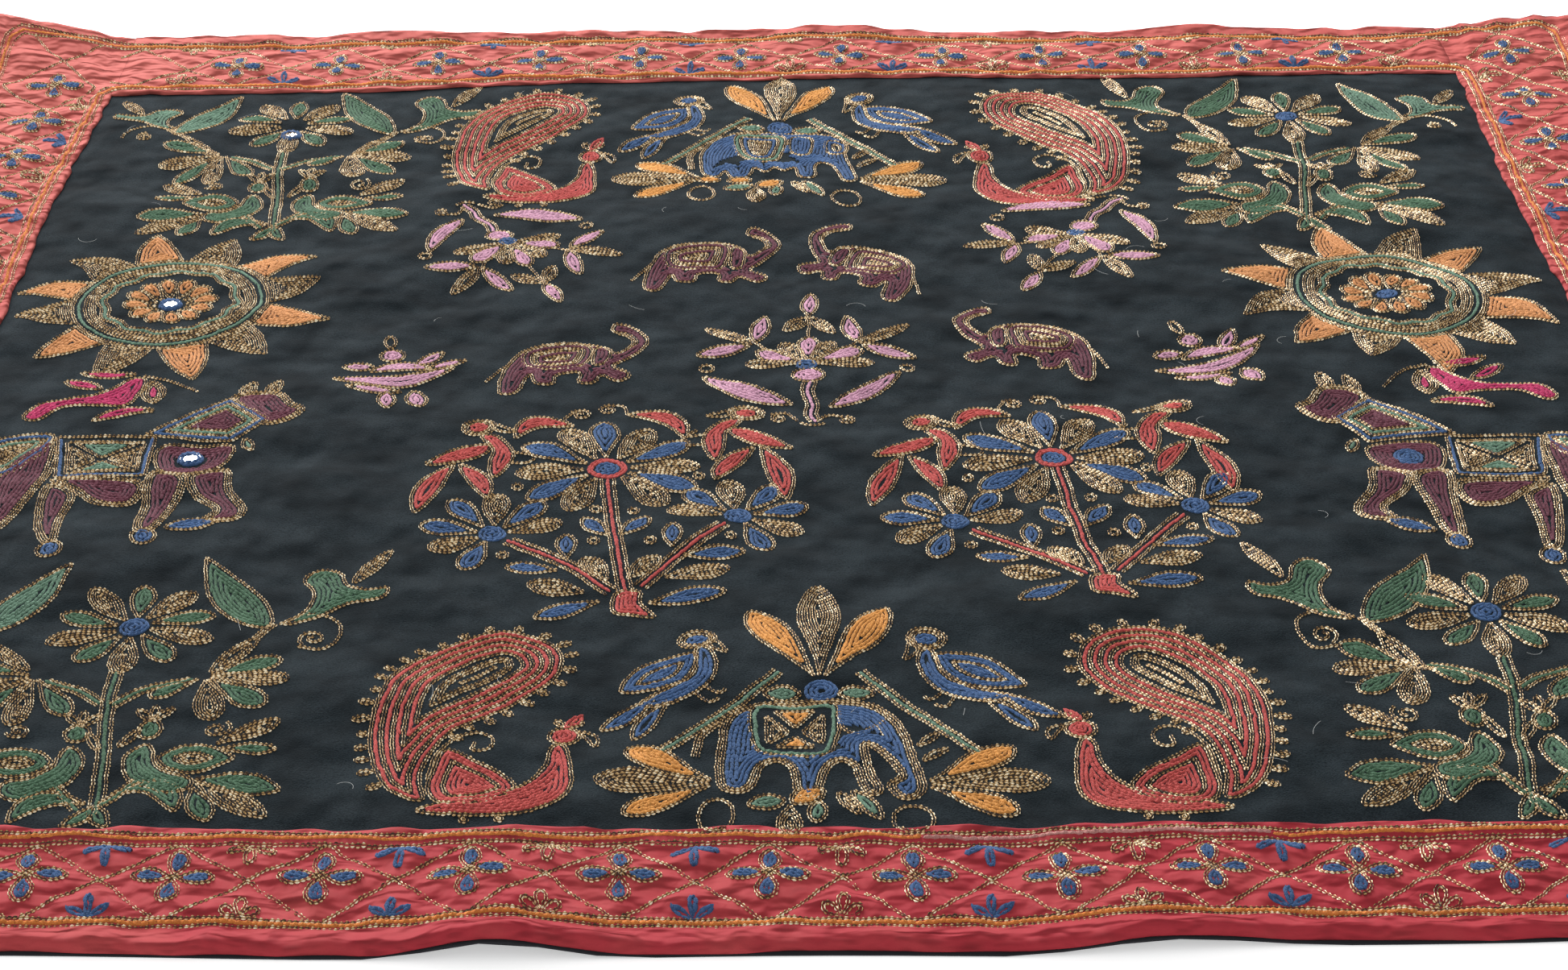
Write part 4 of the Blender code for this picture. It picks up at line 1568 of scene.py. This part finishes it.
sew_repeats("small_elephants", ((small_elephant(), SMALL_ELEPHANT_SPOTS),), 93)


# Small pink flowers and magenta birds: a pink boat-shaped flower at each side of
# the middle, and a magenta bird with a leafy twig over each horse.
wool("magenta", (0.56, 0.026, 0.13))
PINK_FLOWER_SPOTS = (((-0.2157, -0.0071),), ((0.2393, 0.0143), 12.0))
MAGENTA_BIRD_SPOTS = (((-0.3700, -0.0286),), ((0.3740, -0.0130), 10.0, (-1.0, 1.0)))


def pink_flower():
    """A flower drawn in millimetres about the middle of its boat-shaped cup."""
    motif = defaultdict(list)
    leaves(motif, (
        ((-36, -3), (30, 10), 13, "gold pink", -11, 0.5),
        ((-16, 6), (18, 8), 11, "gold pink", 5, 0.5), ((-28, -14), (4, -18), 7, "gold pink", -3),
    ))
    work(motif, ring((-6, 26), 6.5), "gold pink")
    motif["gold"].append(leaf((-8, 34), (-10, 50), 6))
    leaves(motif, (
        ((-14, 12), (-32, 12), 9, "gold pink"), ((8, 12), (22, 32), 9, "gold pink"),
        ((14, 8), (36, 20), 7, "gold pink"), ((-4, -20), (-2, -38), 10, "gold pink"),
        ((10, -16), (16, -36), 11, "gold pink"),
    ))
    return motif


def magenta_bird():
    """A bird with its tail low at the left, drawn in millimetres about its wing."""
    motif = defaultdict(list)
    body = curve([
        (-44, -26), (-38, -12), (-22, -6), (-8, -2), (0, 8), (6, 20), (14, 20), (14, 6),
        (10, -12), (-6, -13), (-24, -15), (-36, -29),
    ], True)
    work(motif, body, "gold magenta")
    work(motif, leaf((-6, 4), (-30, 18), 9), "gold magenta")
    work(motif, leaf((8, 26), (-24, 28), 8, 2), "gold magenta")
    motif["gold"].append(curve([(12, 24), (28, 18), (46, 2)]))
    work(motif, leaf((18, 18), (24, -10), 12), "gold gold magenta")
    work(motif, leaf((26, -18), (-6, -32), 9, -4), "gold magenta")
    motif["gold"].append(curve([(10, -14), (12, -22), (26, -20)]))
    return motif


pink_and_magenta = ((pink_flower(), PINK_FLOWER_SPOTS), (magenta_bird(), MAGENTA_BIRD_SPOTS))
sew_repeats("pink_flowers_and_birds", pink_and_magenta, 94)


# Horses: one at each side, walking towards the middle. Their neck, saddle and
# breast are panels banded in blue, sage and gold, and the left one has a mirror
# on its breast.
LEFT_HORSE = ((-0.3500, -0.1000),)
RIGHT_HORSE = ((0.3640, -0.0975), 0.0, (-1.0, 1.0))


def horse(mirrored):
    """A horse facing right, drawn in millimetres about its saddle."""
    motif = defaultdict(list)
    # head with its ears and muzzle
    head = [(46, 66), (58, 74), (72, 72), (80, 58), (88, 50), (80, 38), (68, 34), (58, 44)]
    work(motif, curve(head, True), "gold gold maroon")
    for spot in ((52, 70), (66, 72)):
        work(motif, leaf(spot, (spot[0] + 4, spot[1] + 17), 8, 0, 0.35), "gold gold")
    # neck: a slanting panel
    neck = np.array([(6, 25), (46, 66), (70, 40), (54, 16), (6, 25)], float)
    work(motif, finer(neck, 2.0), "gold blue gold sage gold maroon")
    # saddle: four triangles in a blue frame
    saddle = np.array([(-40, 24), (12, 23), (14, -21), (-34, -19), (-40, 24)], float)
    work(motif, finer(saddle, 2.0), "gold none gold none")
    motif["blue"].append(finer(saddle[[0, 3, 2, 1]] * 0.93 + (-0.8, -0.4), 2.0))
    facet(motif, [(-30, 18), (4, 18), (-13, 3)], "gold sage")
    facet(motif, [(-26, -13), (6, -14), (-12, -1)], "gold sage")
    facet(motif, [(-32, 14), (-29, -10), (-16, 1)], "gold gold")
    facet(motif, [(7, 14), (8, -11), (-9, 1)], "gold gold")
    # breast panel round the mirror
    breast = curve([(18, 13), (52, 12), (56, 2), (50, -14), (36, -19), (20, -14)], True)
    middle = ring((35, -1), 8.6)
    work(motif, breast, "gold maroon", clear=[middle])
    if not mirrored:
        work(motif, ring((35, -1), 7.5), "blue blue")
    # legs, belly and haunch
    for points in (
        [(17, -18), (36, -22), (34, -50), (29, -80), (20, -80), (18, -50)],
        [(38, -20), (57, -15), (61, -34), (72, -54), (69, -66), (52, -68), (56, -54), (42, -38)],
        [(-34, -22), (12, -26), (12, -48), (-6, -48), (-20, -36)],
        [(-36, -30), (-20, -38), (-20, -66), (-19, -90), (-26, -90), (-33, -66)],
        [(-40, 20), (-38, -16), (-42, -44), (-50, -74), (-60, -74), (-66, -40), (-64, -8), (-54, 14)],
    ):
        work(motif, curve(points, True), "gold gold maroon")
    for spot in ((25, -87), (-20, -99)):
        work(motif, ring(spot, 6.0, 8.0), "gold blue")
    work(motif, leaf((60, -68), (34, -77), 12), "gold blue")
    work(motif, leaf((-56, -76), (-60, -92), 9), "gold blue")
    # rump cloth in bands, and the tail
    rump = curve([(-42, 24), (-64, 24), (-80, 10), (-84, -12), (-70, -22), (-52, -4)], True)
    work(motif, rump, "gold blue gold sage gold")
    work(motif, leaf((-82, 8), (-92, -74), 15, -8, 0.6), "gold maroon")
    work(motif, leaf((60, 18), (66, 6), 6), "gold sage")
    return motif


sew_repeats("horses", ((horse(True), [LEFT_HORSE]), (horse(False), [RIGHT_HORSE])), 95)


# Blue trees and red birds: two trees of three blue and gold flowers on red
# stems, with red crescents and gold tendrils on top and a red bird at each side.
TREE_SPOTS = (((-0.0943, -0.1121),), ((0.1407, -0.1014),))
RED_BIRD_SPOTS = (
    ((-0.1690, -0.0990), 6.0, (0.95, 0.95)),
    ((-0.0200, -0.0800), -10.0, (-1.00, 0.92)),
    ((0.0679, -0.0893), 4.0, (0.95, 0.92)),
    ((0.2120, -0.0750), -10.0, (-1.00, 0.90)),
)


def red_bird():
    """A slim bird facing right with one long and one short tail feather."""
    motif = defaultdict(list)
    work(motif, ring((7, 32), 9.5, 8.5), "gold gold red")
    motif["gold"].append(leaf((14, 37), (29, 24), 5, -3))
    breast = curve([(8, 22), (18, 20), (25, 2), (22, -14), (13, -27), (12, -8), (14, 6)], True)
    work(motif, breast, "gold red")
    leaves(motif, (
        ((13, 10), (-24, -8), 14, "gold red", 1, 0.42),
        ((-7, -8), (-30, -62), 13, "gold red", -3, 0.55),
        ((-4, -10), (10, -50), 12, "gold red", 3, 0.5),
    ))
    motif["gold"].append(curve([(24, 2), (34, -2), (30, 6)]))
    motif["gold"].append(curve([(23, -10), (33, -12), (37, -8)]))
    return motif


def blue_tree():
    """A tree drawn in millimetres about its middle flower."""
    motif = defaultdict(list)
    motif["red"] += [ring((0, 0), 9.5), ring((0, 0), 8.0)]
    work(motif, ring((0, 0), 5.5), "blue blue")
    for degrees in (95, 36, -24, 153, 219):
        work(motif, petal((0, 0), degrees, 12, 52, 15, 0.66), "gold blue")
    for degrees in (64, 4, -48, 121, 188, 247):
        work(motif, petal((0, 0), degrees, 12, 48, 15, 0.66), "gold gold")
    stalk(motif, [(1, -11), (5, -50), (11, -95), (16, -128)], "red", 3.2)
    stalk(motif, [(8, -122), (-18, -96), (-46, -73)], "red", 3.4)
    stalk(motif, [(22, -120), (42, -88), (62, -58)], "red", 3.4)
    foot = curve([(10, -124), (22, -124), (22, -134), (30, -146), (18, -144), (9, -141)], True)
    work(motif, foot, "gold red")
    for centre, angles in (
        ((-55, -65), (130, 90, 52, 14, 252, 212, 172)),
        ((69, -48), (58, 100, 138, 172, 20, -24, -64)),
    ):
        work(motif, ring(centre, 6.5), "blue blue")
        for k, degrees in enumerate(angles):
            name = "gold" if k % 2 else "blue"
            work(motif, petal(centre, degrees, 8, 36 if k % 2 else 38, 13, 0.66), "gold " + name)
    for base, tip, width, name in (
        ((4, -70), (-10, -52), 11, "blue"), ((10, -70), (24, -50), 11, "blue"),
        ((-16, -92), (-17, -68), 10, "blue"), ((36, -84), (36, -60), 10, "blue"),
        ((6, -112), (-8, -92), 13, "gold"), ((16, -112), (30, -92), 12, "gold"),
        ((-20, -104), (-46, -100), 11, "blue"), ((-6, -122), (-34, -118), 13, "gold"),
        ((2, -130), (-28, -148), 12, "blue"), ((42, -92), (74, -84), 12, "blue"),
        ((34, -112), (66, -104), 14, "gold"), ((26, -134), (64, -126), 13, "blue"),
    ):
        work(motif, leaf(base, tip, width, 0.0, 0.6), "gold " + name)
    for spot in (
        (-46, -20), (48, -8), (-4, -42), (16, -42), (-3, -75), (25, -77), (-48, -88), (66, -70),
    ):
        motif["gold"].append(ring(spot, 2.6, 3.4))
    # red crescents and tendrils on top
    work(motif, leaf((-50, 32), (-20, 46), 12, 12, 0.5), "gold red")
    work(motif, leaf((8, 60), (40, 34), 12, 10, 0.5), "gold red")
    motif["gold"].append(curve([(-20, 46), (-26, 54), (-22, 64)]))
    spiral(motif, (-18, 61), 6, 160, -1.5)
    motif["gold"].append(curve([(8, 60), (6, 70), (-2, 72)]))
    spiral(motif, (-3, 67), 5.5, 80, 1.4)
    return motif


sew_repeats("trees_and_red_birds", ((blue_tree(), TREE_SPOTS), (red_bird(), RED_BIRD_SPOTS)), 96)


# Lint: a few pale hairs of wool and cotton that have settled on the dark panel.
# Each lies curled and loose on the nap, a little above the cloth.
HAIR_COUNT = 60
HAIR_HALF_WIDTH = 0.00007
HAIR_RISE = 0.0010
HAIR_COLOUR = (0.42, 0.43, 0.42, 1)
lint_hair, tree, shader, place = new_material("pale_lint", roughness=0.9, base_color=HAIR_COLOUR)
random = np.random.default_rng(97)
hair_points, hair_faces = [], []
for _ in range(HAIR_COUNT):
    foot = random.uniform((-0.43, -0.41), (0.43, 0.41))
    heading = random.uniform(0.0, 2.0 * math.pi) + np.linspace(0.0, random.uniform(-3.0, 3.0), 10)
    step = random.uniform(0.0005, 0.0017)
    row = foot + step * np.cumsum(np.stack([np.cos(heading), np.sin(heading)], axis=-1), axis=0)
    sides = [beside(row, HAIR_HALF_WIDTH), beside(row, -HAIR_HALF_WIDTH)]
    first = len(hair_points)
    for side in sides:
        height = cloth_top(side[:, 0], side[:, 1]) + HAIR_RISE
        hair_points += np.column_stack([side, height]).tolist()
    for k in range(first, first + len(row) - 1):
        hair_faces.append((k, k + 1, k + 1 + len(row), k + len(row)))
hair_mesh = bpy.data.meshes.new("lint")
hair_mesh.from_pydata(hair_points, [], hair_faces)
hair_mesh.materials.append(lint_hair)
lint_hairs = bpy.data.objects.new("lint", hair_mesh)
bpy.context.scene.collection.objects.link(lint_hairs)
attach(lint_hairs, "root")


# Stage: a plain white floor, a large soft light behind the hanging, on the left
# and above, an even white surround, and the camera low at the near end.
FLOOR_SIZE = 14.0
FLOOR_DROP = 0.0003
CAMERA_PLACE = (0.0, -1.542, 0.8026)
CAMERA_TILT = 60.54
CAMERA_LENS = 71.587
CAMERA_SHIFT = -0.0021
CAMERA_SENSOR = 36.0
KEY_PLACE = (-1.6, 3.6, 2.1)
KEY_POWER = 370.0
KEY_SIZE = 3.0
SURROUND_STRENGTH = 0.77
FLOOR_GLOW = 0.42
FLOOR_COLOUR = (0.92, 0.92, 0.92, 1)
WHITE = (1, 1, 1, 1)

floor_white, tree, shader, place = new_material(
    "floor_white",
    roughness=0.9,
    base_color=FLOOR_COLOUR,
    emission_color=WHITE,
    emission_strength=FLOOR_GLOW,
)
bpy.ops.mesh.primitive_plane_add(size=FLOOR_SIZE, location=(0, 0, -FLOOR_DROP))
floor = bpy.context.object
floor.name = "floor"
floor.data.materials.append(floor_white)

world = bpy.data.worlds.new("white_surround")
world.use_nodes = True
background = world.node_tree.nodes["Background"]
background.inputs["Color"].default_value = WHITE
background.inputs["Strength"].default_value = SURROUND_STRENGTH
bpy.context.scene.world = world

key = bpy.data.lights.new("key", "AREA")
key.energy = KEY_POWER
key.size = KEY_SIZE
key_light = bpy.data.objects.new("key", key)
key_light.location = KEY_PLACE
key_light.rotation_euler = (-Vector(KEY_PLACE)).to_track_quat("-Z", "Y").to_euler()
bpy.context.scene.collection.objects.link(key_light)

lens = bpy.data.cameras.new("camera")
lens.lens = CAMERA_LENS
lens.sensor_width = CAMERA_SENSOR
lens.shift_x = CAMERA_SHIFT
camera = bpy.data.objects.new("camera", lens)
camera.location = CAMERA_PLACE
camera.rotation_euler = (math.radians(CAMERA_TILT), 0, 0)
bpy.context.scene.collection.objects.link(camera)
bpy.context.scene.camera = camera
bpy.context.scene.view_settings.view_transform = "Standard"
